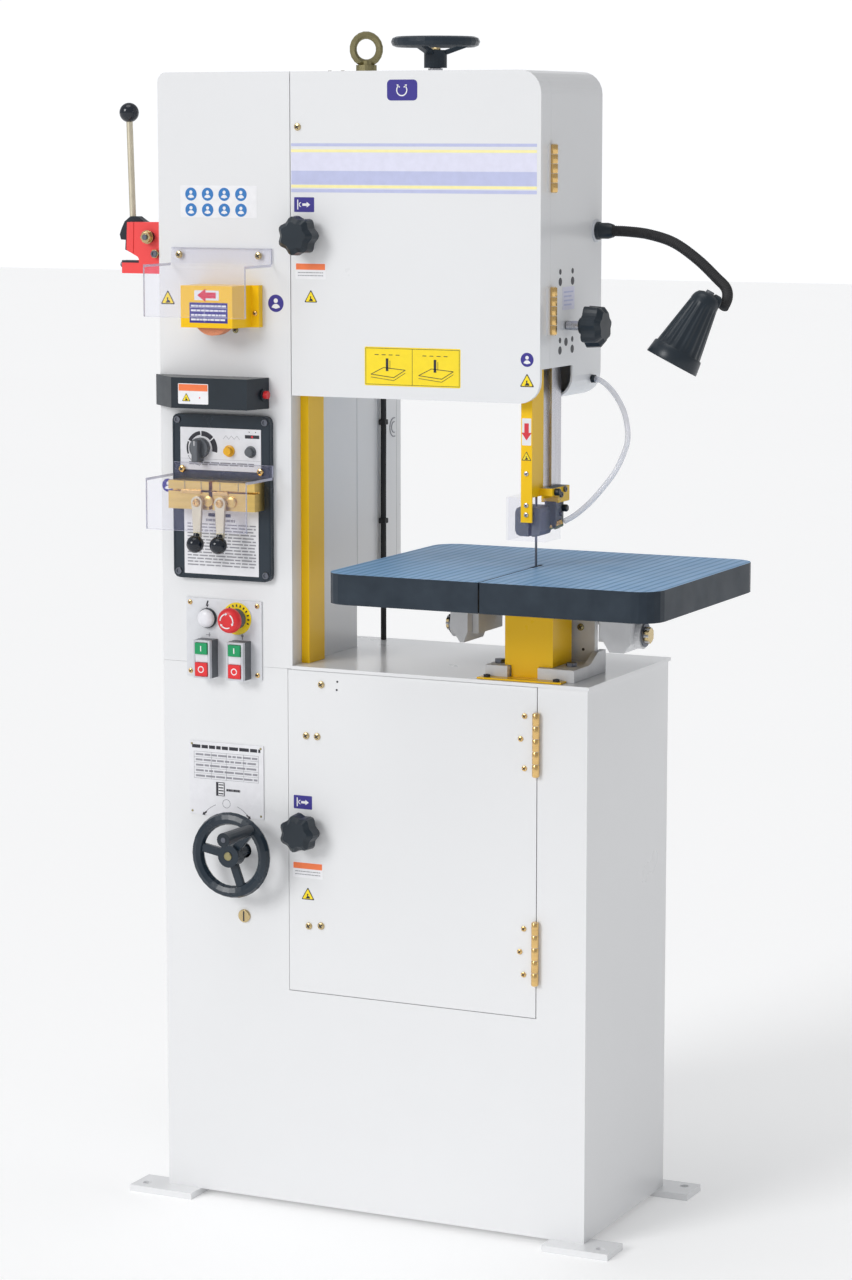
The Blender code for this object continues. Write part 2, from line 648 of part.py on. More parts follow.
def speed_handwheel():
    """The front handwheel that sets the blade speed, with a shaft to the sliding pulley half."""
    centre = (SPEED_X, -0.040, SPEED_Z)
    wheel = handwheel(centre, (0, -1, 0), 0.0640, 0.0092, 0.017, -0.012, 0.010, SPEED_SPOKE)
    shaft = rod((SPEED_X, -0.045, SPEED_Z), (SPEED_X, 0.060, SPEED_Z), 0.009, 16)
    finish(join(wheel, shaft), "speed_handwheel", "black", centre)


def crank_grip():
    """The turning grip on the speed handwheel's rim."""
    x, z = SPEED_X + 0.0545 * cos(SPEED_SPOKE), SPEED_Z + 0.0545 * sin(SPEED_SPOKE)
    sleeve = rod((x, -0.0495, z), (x, -0.128, z), 0.0085, 16, 0.0105)
    finish(sleeve, "crank_grip", "black", (x, -0.05, z))


def shear_body():
    """The notching shear's thick plate, bolted to the column's left side, with its mouth on the left."""
    outline = [(-GAP, 1.380), (-GAP, 1.455), (-0.055, 1.4545), (-0.0565, 1.4137), (-0.038, 1.404)]
    outline += [(-0.036, 1.400), (-0.065, 1.3955), (-0.065, 1.380)]
    plate = prism(outline, "Y", 0.004, 0.018)
    bore = rod((SHEAR_X, 0.0, SHEAR_Z), (SHEAR_X, 0.03, SHEAR_Z), 0.0068, 16)
    finish(cut(plate, bore), "shear_body", "red", smooth=False)


def shear_lever():
    """The shear's lever behind its plate: a cam turning on a bolt through the plate, a rod and a ball."""
    x, z, middle = SHEAR_X, SHEAR_Z, 0.025
    cam_points = arc(x, z, 0.012, -90, 60, 8) + [(-0.036, 1.456), (-0.046, 1.4625), (-0.058, 1.4625)]
    cam_points += [(-0.068, 1.455), (-0.0735, 1.444), (-0.0765, 1.436), (-0.0745, 1.4285)]
    cam_points += [(-0.0665, 1.428), (-0.0675, 1.414), (-0.060, 1.4105)]
    cam = prism(cam_points, "Y", 0.0183, 0.031)
    bolt = rod((x, -0.0035, z), (x, 0.030, z), 0.0065, 16)
    head = rod((x, -0.0035, z), (x, 0.0037, z), 0.0085, 16)
    handle = rod((-0.057, middle, 1.450), (-0.0615, middle, 1.605), 0.0045, 12)
    knob = ball((-0.0618, middle, 1.6128), 0.0140)
    finish(join(cam, bolt, head, handle, knob), "shear_lever", "black", (x, middle, z))


def clamp_lever(name, x):
    """A short lever with a ball that opens one jaw of the blade clamp."""
    y, z = -0.044, 1.054
    pivot = rod((x, -0.0403, z), (x, -0.050, z), 0.009, 16)
    arm = prism([(x - 0.005, z), (x + 0.005, z), (x + 0.004, z - 0.056), (x - 0.004, z - 0.056)], "Y", -0.0495, -0.045)
    knob = ball((x, -0.055, z - 0.060), 0.0128)
    finish(join(arm, pivot, knob), name, "brass", (x, y, z))


# Front panels


def lamp_hood():
    """The dark lamp box over the welder, with chamfered ends and a bore for its button."""
    outline = [(-0.005, -GAP), (-0.005, -0.004), (0.046, -0.050), (0.170, -0.050), (0.1795, -0.004), (0.1795, -GAP)]
    box = prism(outline, "Z", 1.190, 1.2345)
    bore = rod((0.170, -0.014, 1.2105), (0.20, -0.014, 1.2105), 0.0062, 16)
    finish(cut(box, bore), "lamp_hood", "black", smooth=False)


def welder_panel():
    """The welder's dark panel with bores for its knob and buttons."""
    panel = prism(rounded(0.025, 0.186, 0.938, 1.179, (0.010,) * 4, 3), "Y", PANEL_FRONT, -GAP)
    bores = [rod((x, -0.02, z), (x, -0.003, z), 0.0064, 16) for x, z in ((0.120, 1.127), (0.155, 1.127))]
    finish(cut(panel, *bores), "welder_panel", "black", smooth=False)


def welder_jaws():
    """The brass jaws that hold the blade's ends level for welding."""
    body = block(0.034, 0.176, -0.040, PANEL_FRONT - GAP, 1.043, 1.084)
    slot = block(0.02, 0.19, -0.05, -0.026, 1.0685, 1.0715)
    middle = block(0.101, 0.107, -0.05, -0.020, 1.03, 1.10)
    finish(cut(body, slot, middle), "welder_jaws", "brass", smooth=False)


def pressure_knob():
    """The pointer knob that sets the weld pressure."""
    x, z, back = 0.073, 1.130, PANEL_FRONT - GAP
    disc = rod((x, back, z), (x, back - 0.010, z), 0.015, 20)
    pointer = block(x - 0.005, x + 0.005, back - 0.022, back - 0.002, z - 0.0195, z + 0.012, 0.001)
    finish(join(disc, pointer), "pressure_knob", "black", (x, back, z))


def round_button(name, centre, direction, radius, out, inside, kind):
    start = Vector(centre) - Vector(direction) * inside
    end = Vector(centre) + Vector(direction) * out
    finish(rod(start, end, radius, 16), name, kind, centre)


def switch_places():
    """Left and right edge, and middle height, of the two push-button switches' windows."""
    return ((0.066, 0.092), (0.121, 0.147))


def control_panel():
    """The control plate with its lamp, the emergency stop's collar and two switch housings."""
    plate = block(0.041, 0.166, -0.0025, -GAP, 0.792, 0.908)
    lamp = rod((0.077, -0.002, 0.879), (0.077, -0.011, 0.879), 0.0125, 20)
    disc = rod((0.126, -0.002, 0.881), (0.126, -0.004, 0.881), 0.024, 24)
    collar = rod((0.126, -0.003, 0.881), (0.126, -0.017, 0.881), 0.0135, 20)
    housings = [block(x0, x1, -0.026, -0.002, 0.7935, 0.848, 0.001) for x0, x1 in switch_places()]
    body = join(plate, lamp, disc, collar, *housings)
    pockets = [rod((0.126, -0.03, 0.881), (0.126, -0.006, 0.881), 0.0085, 16)]
    for x0, x1 in switch_places():
        for z0, z1 in ((0.8285, 0.8455), (0.796, 0.8165)):
            pockets.append(block(x0 + 0.003, x1 - 0.003, -0.04, -0.010, z0, z1))
    finish(cut(body, *pockets), "control_panel", "plate", smooth=False)


def emergency_stop():
    x, z = 0.126, 0.881
    stem = rod((x, -0.012, z), (x, -0.025, z), 0.008, 16)
    cap = rod((x, -0.0227, z), (x, -0.031, z), 0.0185, 24)
    dome = rod((x, -0.030, z), (x, -0.035, z), 0.0185, 24, 0.012)
    finish(join(cap, dome, stem), "emergency_stop", "red", (x, -0.023, z))


def push_buttons():
    """Green start and red stop buttons, for the blade on the left and the grinder on the right."""
    for place, (x0, x1) in zip(("saw", "grinder"), switch_places()):
        for action, kind, z0, z1 in (("start", "green", 0.8285, 0.8455), ("stop", "red", 0.796, 0.8165)):
            edge = 0.0033
            button = block(x0 + edge, x1 - edge, -0.029, -0.015, z0 + GAP, z1 - GAP)
            middle = ((x0 + x1) / 2, -0.026, (z0 + z1) / 2)
            finish(button, f"{place}_{action}_button", kind, middle, smooth=False)


def speed_plate():
    finish(block(0.043, 0.167, -0.0018, -GAP, 0.5845, 0.694), "speed_plate", "plate", smooth=False)


def electrics_box():
    finish(block(0.020, 0.215, COLUMN_DEEP + GAP, 0.366, 0.905, 1.480, 0.003), "electrics_box", "paint", smooth=False)


def box_cable():
    """The black cable clipped down the side of the electrics box to the cabinet's top."""
    x, y = 0.2205, 0.291
    route = [(x, y, 1.200), (x + 0.0005, y, 1.160), (x, y, 1.05), (x, y, 0.94), (x, y, CABINET_TOP + GAP)]
    tube("box_cable", route, 0.0045, "rubber")


def grinding_wheel():
    """The small stone on its spindle, which runs back into the column."""
    x, z = GRINDER_X, GRINDER_Z
    stone = rod((x, -0.046, z), (x, -0.030, z), 0.0325, 32)
    spindle = rod((x, -0.049, z), (x, 0.090, z), 0.006, 12)
    motor = rod((x, 0.040, z), (x, 0.130, z), 0.020, 16)
    finish(join(stone, spindle, motor), "grinding_wheel", "stone", (x, -0.038, z))


# Doors


def upper_door():
    """The head's door: a rounded pan hinged at its right side."""
    pan = prism(head_outline(0), "Y", 0, DOOR_DEEP)
    left_gap = block(0.20, COLUMN_WIDE + 0.0014, -0.01, 0.05, 1.20, 1.70)
    hollow = prism(head_outline(DOOR_SHEET), "Y", DOOR_SHEET, DOOR_DEEP + 0.01)
    body = cut(pan, hollow, guide_opening(), left_gap)
    knuckles = []
    for z0, z1 in ((1.502, 1.568), (1.305, 1.371)):
        knuckles.append(block(HEAD_RIGHT - 0.0005, HEAD_RIGHT + 0.0018, 0.024, 0.0342, z0, z1))
        knuckles.append(rod((0.6098, 0.035, z0), (0.6098, 0.035, z1), 0.0045, 12))
    finish(join(body, *knuckles), "upper_door", "paint", (0.6098, 0.035, 1.44), smooth=False)


def lower_door():
    """The cabinet's door, a flush pan hinged at its right edge."""
    x0, x1 = LOWER_DOOR_LEFT + 0.0008, LOWER_DOOR_RIGHT - 0.0014
    z0, z1 = LOWER_DOOR_BOTTOM + 0.001, CABINET_TOP - TOP_PLATE - 0.001
    pan = block(x0, x1, 0, 0.016, z0, z1)
    hollow = block(x0 + 0.0025, x1 - 0.0025, 0.0025, 0.03, z0 + 0.0025, z1 - 0.0025)
    knuckles = []
    for low, high in ((0.684, 0.775), (0.382, 0.474)):
        knuckles.append(block(0.598, 0.6035, -0.0018, 0.0005, low, high))
        knuckles.append(rod((0.6035, -0.005, low), (0.6035, -0.005, high), 0.0045, 12))
    finish(join(cut(pan, hollow), *knuckles), "lower_door", "paint", (0.6035, -0.005, 0.57), smooth=False)


# Guide post


def guide_post():
    post = block(0.577, 0.590, 0.077, 0.111, POST_LOW, 1.482)
    finish(post, "guide_post", "steel", (0.5835, 0.094, POST_LOW), smooth=False)


def guide_arm():
    """The clamp on the post's foot, and the guide block with a slot for the blade."""
    clamp = block(0.5775, 0.603, 0.072, 0.111, 1.066, POST_LOW - GAP)
    ear = block(0.5843, 0.603, 0.050, 0.074, 1.0775, POST_LOW - GAP)
    drop = block(0.583, 0.600, 0.070, 0.098, 1.030, 1.067)
    guide = prism(rounded(0.553, 0.592, 1.020, 1.062, (0.008,) * 4, 2), "Y", 0.034, 0.074)
    slot = block(0.5735, 0.5785, 0.02, 0.0615, 1.01, 1.08)
    finish(join(clamp, ear, drop, cut(guide, slot)), "guide_arm", "cast", (0.59, 0.09, 1.07), smooth=False)


def air_hose():
    """The clear air hose from the head's side to the nozzle at the blade guide."""
    route = [(0.6056, 0.188, 1.234), (0.622, 0.184, 1.231), (0.643, 0.175, 1.217), (0.662, 0.164, 1.196)]
    route += [(0.673, 0.154, 1.175), (0.678, 0.146, 1.152), (0.675, 0.138, 1.132), (0.666, 0.130, 1.108)]
    route += [(0.651, 0.122, 1.085), (0.635, 0.112, 1.064), (0.619, 0.098, 1.047), (0.6065, 0.0855, 1.038)]
    tube("air_hose", route, 0.004, "clear")


# Work lamp


def lamp_route():
    return [
        (0.627, 0.199, 1.445),
        (0.655, 0.195, 1.4445),
        (0.691, 0.189, 1.441),
        (0.732, 0.181, 1.430),
        (0.772, 0.171, 1.407),
        (0.804, 0.160, 1.383),
        (0.8225, 0.149, 1.3695),
        (0.8300, 0.135, 1.3560),
        LAMP_JOINT,
    ]


def lamp_arm():
    """The gooseneck on its socket, set at one bend."""
    arm = tube("neck", lamp_route(), 0.008, "black", 3)
    graph = bpy.context.evaluated_depsgraph_get()
    mesh = bpy.data.meshes.new_from_object(arm.evaluated_get(graph))
    bpy.data.objects.remove(arm, do_unlink=True)
    neck = bpy.data.objects.new("neck", mesh)
    bpy.context.scene.collection.objects.link(neck)
    socket = rod((HEAD_RIGHT + GAP, 0.199, 1.445), (0.632, 0.199, 1.445), 0.0115, 16)
    finish(join(socket, neck), "lamp_arm", "black", (0.605, 0.199, 1.445))


def lamp_head():
    """The conical shade, open at its wide end, with a cap and the side socket that takes the arm's end."""
    top = Vector((0.8150, 0.1060, 1.3640))
    mouth = Vector((0.7690, 0.0800, 1.2670))
    way = (mouth - top).normalized()
    shade = rod(top + way * 0.012, mouth, 0.0200, 24, 0.039)
    cap = rod(top, top + way * 0.014, 0.0150, 20, 0.0195)
    cavity = rod(top + way * 0.050, mouth + way * 0.002, 0.022, 20, 0.0355)
    arm_end = Vector(LAMP_JOINT)
    foot = top + way * (arm_end - top).dot(way)
    side = (arm_end - foot).normalized()
    socket = rod(foot, arm_end - side * 0.0092, 0.0115, 16)
    body = cut(join(shade, cap, socket), cavity)
    finish(body, "lamp_head", "black", LAMP_JOINT)


def centre_on_floor():
    """Moves everything so that the origin is under the middle of the whole machine."""
    bpy.context.view_layer.update()
    graph = bpy.context.evaluated_depsgraph_get()
    places = []
    for item in bpy.context.scene.objects:
        solid = item.evaluated_get(graph)
        places += [item.matrix_world @ vertex.co for vertex in solid.to_mesh().vertices]
        solid.to_mesh_clear()
    low = [min(place[i] for place in places) for i in range(3)]
    high = [max(place[i] for place in places) for i in range(3)]
    shift = Vector(((low[0] + high[0]) / 2, (low[1] + high[1]) / 2, low[2]))
    for item in bpy.context.scene.objects:
        item.location -= shift
    print("centred on", [round(value, 5) for value in shift], "size", [round(b - a, 5) for a, b in zip(low, high)])


def main():
    clear_scene()
    cabinet_shell()
    cabinet_top_plate()
    column_box()
    head_housing()
    lifting_eye()
    column_blade_guard()
    lower_blade_guard()
    upper_blade_guard()
    clear_guard()
    grinder_guard()
    shield("grinder_shield", 0.022, 0.186, -GAP, -0.085, 1.419, 1.397, 1.323)
    shield("welder_shield", 0.028, 0.191, PANEL_FRONT - GAP, -0.095, 1.108, 1.0915, 1.018)
    trunnion_base()
    table_cradle()
    table_bracket("left_table_bracket", 0.478, -1)
    table_bracket("right_table_bracket", 0.683, 1)
    work_table()
    saw_blade()
    upper_wheel()
    lower_wheel()
    tension_block()
    lower_bearing()
    drive_motor()
    motor_sheave()
    sliding_sheave()
    drive_belt()
    star_knob("upper_door_knob", (0.240, -GAP, 1.439), (0, -1, 0), 0.029, 0.026, 0.014)
    star_knob("lower_door_knob", (0.237, -GAP, 0.575), (0, -1, 0), 0.029, 0.026, 0.014)
    post_clamp_knob()
    tension_handwheel()
    speed_handwheel()
    crank_grip()
    shear_body()
    shear_lever()
    clamp_lever("left_clamp_lever", 0.086)
    clamp_lever("right_clamp_lever", 0.124)
    lamp_hood()
    welder_panel()
    welder_jaws()
    pressure_knob()
    round_button("weld_button", (0.120, PANEL_FRONT, 1.127), (0, -1, 0), 0.006, 0.010, 0.003, "orange")
    round_button("anneal_button", (0.155, PANEL_FRONT, 1.127), (0, -1, 0), 0.006, 0.010, 0.003, "black")
    round_button("hood_button", (0.1775, -0.014, 1.2105), (1, 0, 0), 0.0058, 0.008, 0.003, "red")
    control_panel()
    emergency_stop()
    push_buttons()
    speed_plate()
    electrics_box()
    box_cable()
    grinding_wheel()
    upper_door()
    lower_door()
    guide_post()
    guide_arm()
    air_hose()
    lamp_arm()
    lamp_head()
    centre_on_floor()


main()
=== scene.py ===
"""Looks of a vertical band saw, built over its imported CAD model."""

from math import cos, pi, radians, sin

import bmesh
import bpy
from mathutils import Matrix, Vector


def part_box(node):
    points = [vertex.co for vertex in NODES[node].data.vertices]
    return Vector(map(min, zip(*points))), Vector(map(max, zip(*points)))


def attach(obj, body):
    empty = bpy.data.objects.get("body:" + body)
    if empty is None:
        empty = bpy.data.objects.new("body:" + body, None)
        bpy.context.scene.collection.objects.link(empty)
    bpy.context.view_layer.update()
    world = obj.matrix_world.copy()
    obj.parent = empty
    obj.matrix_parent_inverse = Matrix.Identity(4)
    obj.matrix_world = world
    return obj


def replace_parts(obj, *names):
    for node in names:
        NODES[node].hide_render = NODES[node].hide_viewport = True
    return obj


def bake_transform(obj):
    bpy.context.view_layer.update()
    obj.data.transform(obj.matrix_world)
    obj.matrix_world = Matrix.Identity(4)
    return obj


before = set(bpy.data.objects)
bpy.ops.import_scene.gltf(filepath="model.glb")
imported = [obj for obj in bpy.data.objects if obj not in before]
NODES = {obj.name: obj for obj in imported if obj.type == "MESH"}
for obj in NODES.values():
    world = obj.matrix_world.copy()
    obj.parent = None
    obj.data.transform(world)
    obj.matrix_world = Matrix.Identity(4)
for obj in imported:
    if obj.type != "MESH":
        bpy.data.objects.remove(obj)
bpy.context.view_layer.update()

# The machine's own corner: the column's left side, its front face, and the floor.
CORNER = Vector((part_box("column_box")[0].x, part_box("column_box")[0].y, 0.0))
SIDE_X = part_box("head_housing")[1].x - CORNER.x
FRONT, RIGHT, UP = (0, -1, 0), (1, 0, 0), (0, 0, 1)
DECAL = 0.0002
GROOVE_PITCH = 0.0144


def at(x, y, z):
    """A point given from the machine's corner, in the shared frame."""
    return CORNER + Vector((x, y, z))


# Materials


def add_node(tree, kind, values, **settings):
    """Adds a shader node; values hold numbers for its inputs, or the outputs that feed them."""
    made = tree.nodes.new("ShaderNode" + kind)
    for name, value in settings.items():
        setattr(made, name, value)
    for socket, value in values.items():
        if isinstance(value, bpy.types.NodeSocket):
            tree.links.new(value, made.inputs[socket])
        else:
            made.inputs[socket].default_value = value
    return made


class Look:
    """One Principled material with helpers for the procedural detail that feeds it."""

    def __init__(self, name, colour, roughness, metallic=0.0):
        self.material = bpy.data.materials.new(name)
        self.material.use_nodes = True
        self.tree = self.material.node_tree
        self.shader = self.tree.nodes["Principled BSDF"]
        self.colour = colour
        self.set("Base Color", (*colour, 1.0))
        self.set("Roughness", roughness)
        self.set("Metallic", metallic)
        self.place = self.node("TexCoord", {})
        self.height = None

    def set(self, socket, value):
        self.shader.inputs[socket].default_value = value

    def feed(self, socket, source):
        self.tree.links.new(source, self.shader.inputs[socket])

    def node(self, kind, values, **settings):
        return add_node(self.tree, kind, values, **settings)

    def math(self, operation, first, second=0.0):
        return self.node("Math", {0: first, 1: second}, operation=operation).outputs["Value"]

    def mix(self, share, first, second):
        values = {"Factor": share, "A": first, "B": second}
        return self.node("Mix", values, data_type="RGBA").outputs["Result"]

    def noise(self, scale, detail, stretch=(1, 1, 1)):
        spread = self.node("Mapping", {"Vector": self.place.outputs["Object"], "Scale": stretch})
        values = {"Vector": spread.outputs["Vector"], "Scale": scale, "Detail": detail}
        return self.node("TexNoise", values).outputs["Fac"]

    def ramp(self, source, low, high):
        ramp = self.node("ValToRGB", {"Fac": source})
        for stop, position, colour in zip(ramp.color_ramp.elements, (0.3, 0.7), (low, high)):
            stop.position = position
            stop.color = (*colour, 1.0)
        return ramp.outputs["Color"]

    def mottle(self, scale, amount, stretch=(1, 1, 1)):
        """Uneven colour: darker and lighter than the base by amount."""
        low = [value * (1 - amount) for value in self.colour]
        high = [min(value * (1 + amount), 1.0) for value in self.colour]
        self.feed("Base Color", self.ramp(self.noise(scale, 4.0, stretch), low, high))
        return self

    def uneven_gloss(self, scale, low, high, stretch=(1, 1, 1)):
        values = {"Value": self.noise(scale, 4.0, stretch), "To Min": low, "To Max": high}
        self.feed("Roughness", self.node("MapRange", values).outputs["Result"])
        return self

    def relief(self, scale, depth, stretch=(1, 1, 1), strength=1.0, detail=2.0):
        """Fine bumps of the given depth in metres."""
        values = {"Strength": strength, "Distance": depth, "Height": self.noise(scale, detail, stretch)}
        if self.height:
            values["Normal"] = self.height
        self.height = self.node("Bump", values).outputs["Normal"]
        self.feed("Normal", self.height)
        return self


def powder_coat(name, colour, coat=0.35, specular=0.5):
    """Gloss paint on sheet steel: faint orange peel, slightly uneven tone and gloss."""
    look = Look(name, colour, 0.3).mottle(2.4, 0.018)
    look.uneven_gloss(9.0, 0.24, 0.36)
    look.relief(420.0, 0.00012, strength=0.25)
    look.set("Specular IOR Level", specular)
    look.set("Coat Weight", coat)
    look.set("Coat Roughness", 0.12)
    return look.material


def moulded(name, colour, roughness=0.38, grain=1500.0):
    look = Look(name, colour, roughness).mottle(28.0, 0.1)
    look.uneven_gloss(60.0, roughness - 0.07, roughness + 0.09)
    look.relief(grain, 0.00008, strength=0.35)
    look.set("Specular IOR Level", 0.4)
    return look.material


def metal(name, colour, roughness, stretch=(1, 1, 1)):
    """Bare or plated metal, with grain that a stretch turns into brushing."""
    look = Look(name, colour, roughness, 1.0).mottle(36.0, 0.08, stretch)
    look.uneven_gloss(120.0, roughness - 0.08, roughness + 0.12, stretch)
    look.relief(720.0, 0.00003, stretch, 0.4)
    return look.material


def casting(name, colour):
    """Painted cast iron with its sand texture under the paint."""
    look = Look(name, colour, 0.5).mottle(40.0, 0.06)
    look.uneven_gloss(80.0, 0.42, 0.6)
    look.relief(260.0, 0.0006, strength=0.35, detail=4.0)
    return look.material


def printed(name, colour):
    """Printed film: flat ink with a hint of grain."""
    return Look(name, colour, 0.34).mottle(90.0, 0.03).uneven_gloss(150.0, 0.3, 0.42).material


def acrylic(name, alpha, colour):
    look = Look(name, colour, 0.06)
    look.uneven_gloss(30.0, 0.03, 0.1)
    look.relief(14.0, 0.0004, strength=0.15)
    look.set("Alpha", alpha)
    look.set("IOR", 1.49)
    return look.material


def table_paint():
    """Blue paint on the planed and grooved top, near-black paint on the cast skirt below it."""
    look = Look("table_paint", (0.17, 0.34, 0.56), 0.4)
    facing = look.node("SeparateXYZ", {"Vector": look.place.outputs["Normal"]})
    upward = look.math("GREATER_THAN", facing.outputs["Z"], 0.9)
    place = look.node("SeparateXYZ", {"Vector": look.place.outputs["Object"]})
    # The grooves take a darker blue, which is painted shade in their recesses; they are also sunk as bumps
    # below.
    wave = look.math("SINE", look.math("MULTIPLY", place.outputs["X"], 2 * pi / GROOVE_PITCH))
    groove = look.node("MapRange", {"Value": wave, "From Min": 0.2, "From Max": 0.75}).outputs["Result"]
    blue = look.ramp(look.noise(6.0, 5.0, (2.0, 0.4, 1)), (0.15, 0.32, 0.54), (0.2, 0.39, 0.63))
    groove_shaded = look.mix(groove, blue, (0.085, 0.235, 0.43, 1.0))
    dark = look.ramp(look.noise(30.0, 4.0), (0.017, 0.027, 0.04), (0.028, 0.041, 0.057))
    look.feed("Base Color", look.mix(upward, dark, groove_shaded))
    depth = look.math("MULTIPLY", groove, upward)
    look.height = look.node("Bump", {"Distance": 0.0006, "Height": depth}, invert=True).outputs["Normal"]
    look.relief(500.0, 0.0001, strength=0.3)
    look.set("Specular IOR Level", 0.25)
    look.uneven_gloss(20.0, 0.34, 0.5)
    return look.material


WHITE = powder_coat("white_powder_coat", (0.8, 0.805, 0.815))
CASE_GREY = powder_coat("grey_powder_coat", (0.52, 0.525, 0.535))
YELLOW = powder_coat("yellow_paint", (1.0, 0.59, 0.006), 0.08, 0.25)
RED_PAINT = powder_coat("red_paint", (0.9, 0.085, 0.085), 0.06, 0.25)
BLACK = moulded("black_plastic", (0.013, 0.021, 0.03), 0.33)
NAVY = moulded("navy_black_enamel", (0.018, 0.029, 0.042), 0.24, 900.0)
RUBBER = moulded("black_rubber", (0.02, 0.02, 0.022), 0.6)
GREY_PLASTIC = moulded("grey_plastic", (0.12, 0.13, 0.145), 0.42)
SILVER_PLASTIC = moulded("silver_bezel", (0.62, 0.64, 0.68), 0.3)
ZINC = metal("yellow_zinc", (0.6, 0.47, 0.25), 0.24)
OLIVE_ZINC = metal("olive_zinc", (0.36, 0.32, 0.17), 0.36)
BRASS = metal("brass", (0.78, 0.52, 0.21), 0.2, (1, 1, 6))
JAW_BRASS = metal("jaw_brass", (0.74, 0.52, 0.17), 0.34, (0.3, 1, 4))
CREAM_ZINC = metal("pale_zinc", (0.7, 0.64, 0.5), 0.42)
STEEL = metal("ground_steel", (0.6, 0.6, 0.64), 0.26, (8, 8, 0.4))
DARK_STEEL = metal("blued_steel", (0.16, 0.17, 0.2), 0.4)
CAST_WHITE = casting("light_grey_casting", (0.68, 0.685, 0.7))
CAST_DARK = casting("grey_casting", (0.1, 0.115, 0.125))
TABLE = table_paint()
STONE = Look("grinding_stone", (0.72, 0.28, 0.15), 0.9).mottle(900.0, 0.3).relief(1400.0, 0.0005).material
CLEAR = acrylic("clear_acrylic", 0.065, (0.55, 0.55, 0.9))
CLEAR_EDGE = acrylic("acrylic_edge", 0.55, (0.66, 0.67, 0.8))
HOSE = acrylic("clear_hose", 0.5, (0.78, 0.79, 0.86))
PLATE = printed("white_plate", (0.8, 0.8, 0.83))
PANEL_GREY = printed("pale_panel", (0.72, 0.73, 0.76))
PAPER = printed("white_film", (0.86, 0.86, 0.88))
# This black serves print, and is also painted shade in holes, slots and screw recesses.
BLACK_PRINT_AND_SHADE = printed("black_print_and_painted_shade", (0.02, 0.02, 0.03))
GREY_INK = printed("grey_ink", (0.3, 0.3, 0.33))
BLUE = printed("blue_film", (0.035, 0.025, 0.26))
SKY = printed("sky_blue_film", (0.025, 0.19, 0.52))
YELLOW_FILM = printed("yellow_film", (0.98, 0.74, 0.012))
LEMON = printed("lemon_film", (0.96, 0.88, 0.42))
ORANGE_FILM = printed("orange_film", (0.9, 0.2, 0.06))
RED_FILM = printed("red_film", (0.75, 0.03, 0.05))
LAVENDER = printed("lavender_film", (0.52, 0.55, 0.78))
PALE_LAVENDER = printed("pale_lavender_film", (0.74, 0.74, 0.88))
GREEN_BUTTON = moulded("green_button", (0.01, 0.33, 0.12), 0.3)
RED_BUTTON = moulded("red_button", (0.74, 0.03, 0.035), 0.3)
AMBER_BUTTON = moulded("amber_button", (0.86, 0.45, 0.02), 0.3)
DIFFUSER = moulded("frosted_lens", (0.78, 0.78, 0.82), 0.25)
SHADE_WHITE = moulded("shade_enamel", (0.7, 0.7, 0.68), 0.35)
BALL_GLOSS = Look("phenolic_black", (0.01, 0.014, 0.022), 0.12).mottle(20.0, 0.08)
BALL_BLACK = BALL_GLOSS.uneven_gloss(40.0, 0.09, 0.16).material


# Shapes


def piece(name, bm, look, body, bevel=0.0, smooth=35.0):
    """Makes an object from a bmesh, rides it on a body, and rounds its edges."""
    bmesh.ops.recalc_face_normals(bm, faces=bm.faces)
    mesh = bpy.data.meshes.new(name)
    bm.to_mesh(mesh)
    bm.free()
    mesh.materials.append(look)
    mesh.shade_smooth()
    mesh.set_sharp_from_angle(angle=radians(smooth))
    made = bpy.data.objects.new(name, mesh)
    bpy.context.scene.collection.objects.link(made)
    if bevel:
        soften(made, bevel)
    if body:
        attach(made, body)
    return made


def soften(item, width):
    """Rounds an object's sharp edges."""
    change = item.modifiers.new("rounded", "BEVEL")
    change.width = width
    change.segments = 2
    change.limit_method = "ANGLE"
    change.angle_limit = radians(38)
    change.harden_normals = True


def placed(bm, centre, direction, turn=0.0):
    """Stands a shape made at the origin on a point, with its +Z along a direction."""
    along = Vector((0, 0, 1)).rotation_difference(Vector(direction).normalized()).to_matrix().to_4x4()
    change = Matrix.Translation(centre) @ along @ Matrix.Rotation(turn, 4, "Z")
    bmesh.ops.transform(bm, matrix=change, verts=bm.verts)
    return bm


def box(low, high):
    bm = bmesh.new()
    bmesh.ops.create_cube(bm, size=1.0)
    size = Vector(high) - Vector(low)
    bmesh.ops.scale(bm, vec=size, verts=bm.verts)
    bmesh.ops.translate(bm, vec=(Vector(high) + Vector(low)) / 2, verts=bm.verts)
    return bm


def block(x0, x1, y0, y1, z0, z1):
    return box(at(x0, y0, z0), at(x1, y1, z1))


def lathe(profile, steps):
    """Turns (radius, height) pairs about +Z."""
    bm = bmesh.new()
    rings = []
    for radius, height in profile:
        if radius == 0:
            rings.append([bm.verts.new((0, 0, height))])
            continue
        ring = []
        for i in range(steps):
            angle = 2 * pi * i / steps
            ring.append(bm.verts.new((radius * cos(angle), radius * sin(angle), height)))
        rings.append(ring)
    for below, above in zip(rings, rings[1:]):
        skin(bm, below, above)
    for ring in (rings[0], rings[-1]):
        if len(ring) > 1:
            bm.faces.new(ring)
    return bm


def skin(bm, below, above):
    """Joins two rings of points with faces; either may be a single point."""
    count = max(len(below), len(above))
    for i in range(count):
        j = (i + 1) % count
        corners = [below[i % len(below)], below[j % len(below)], above[j % len(above)], above[i % len(above)]]
        unique = list(dict.fromkeys(corners))
        if len(unique) > 2:
            bm.faces.new(unique)


def outline_prism(points, low, high):
    """Extrudes a flat outline from height low to high."""
    bm = bmesh.new()
    base = bm.faces.new([bm.verts.new((x, y, low)) for x, y in points])
    grown = bmesh.ops.extrude_face_region(bm, geom=[base])["geom"]
    moved = [item for item in grown if isinstance(item, bmesh.types.BMVert)]
    bmesh.ops.translate(bm, vec=(0, 0, high - low), verts=moved)
    return bm


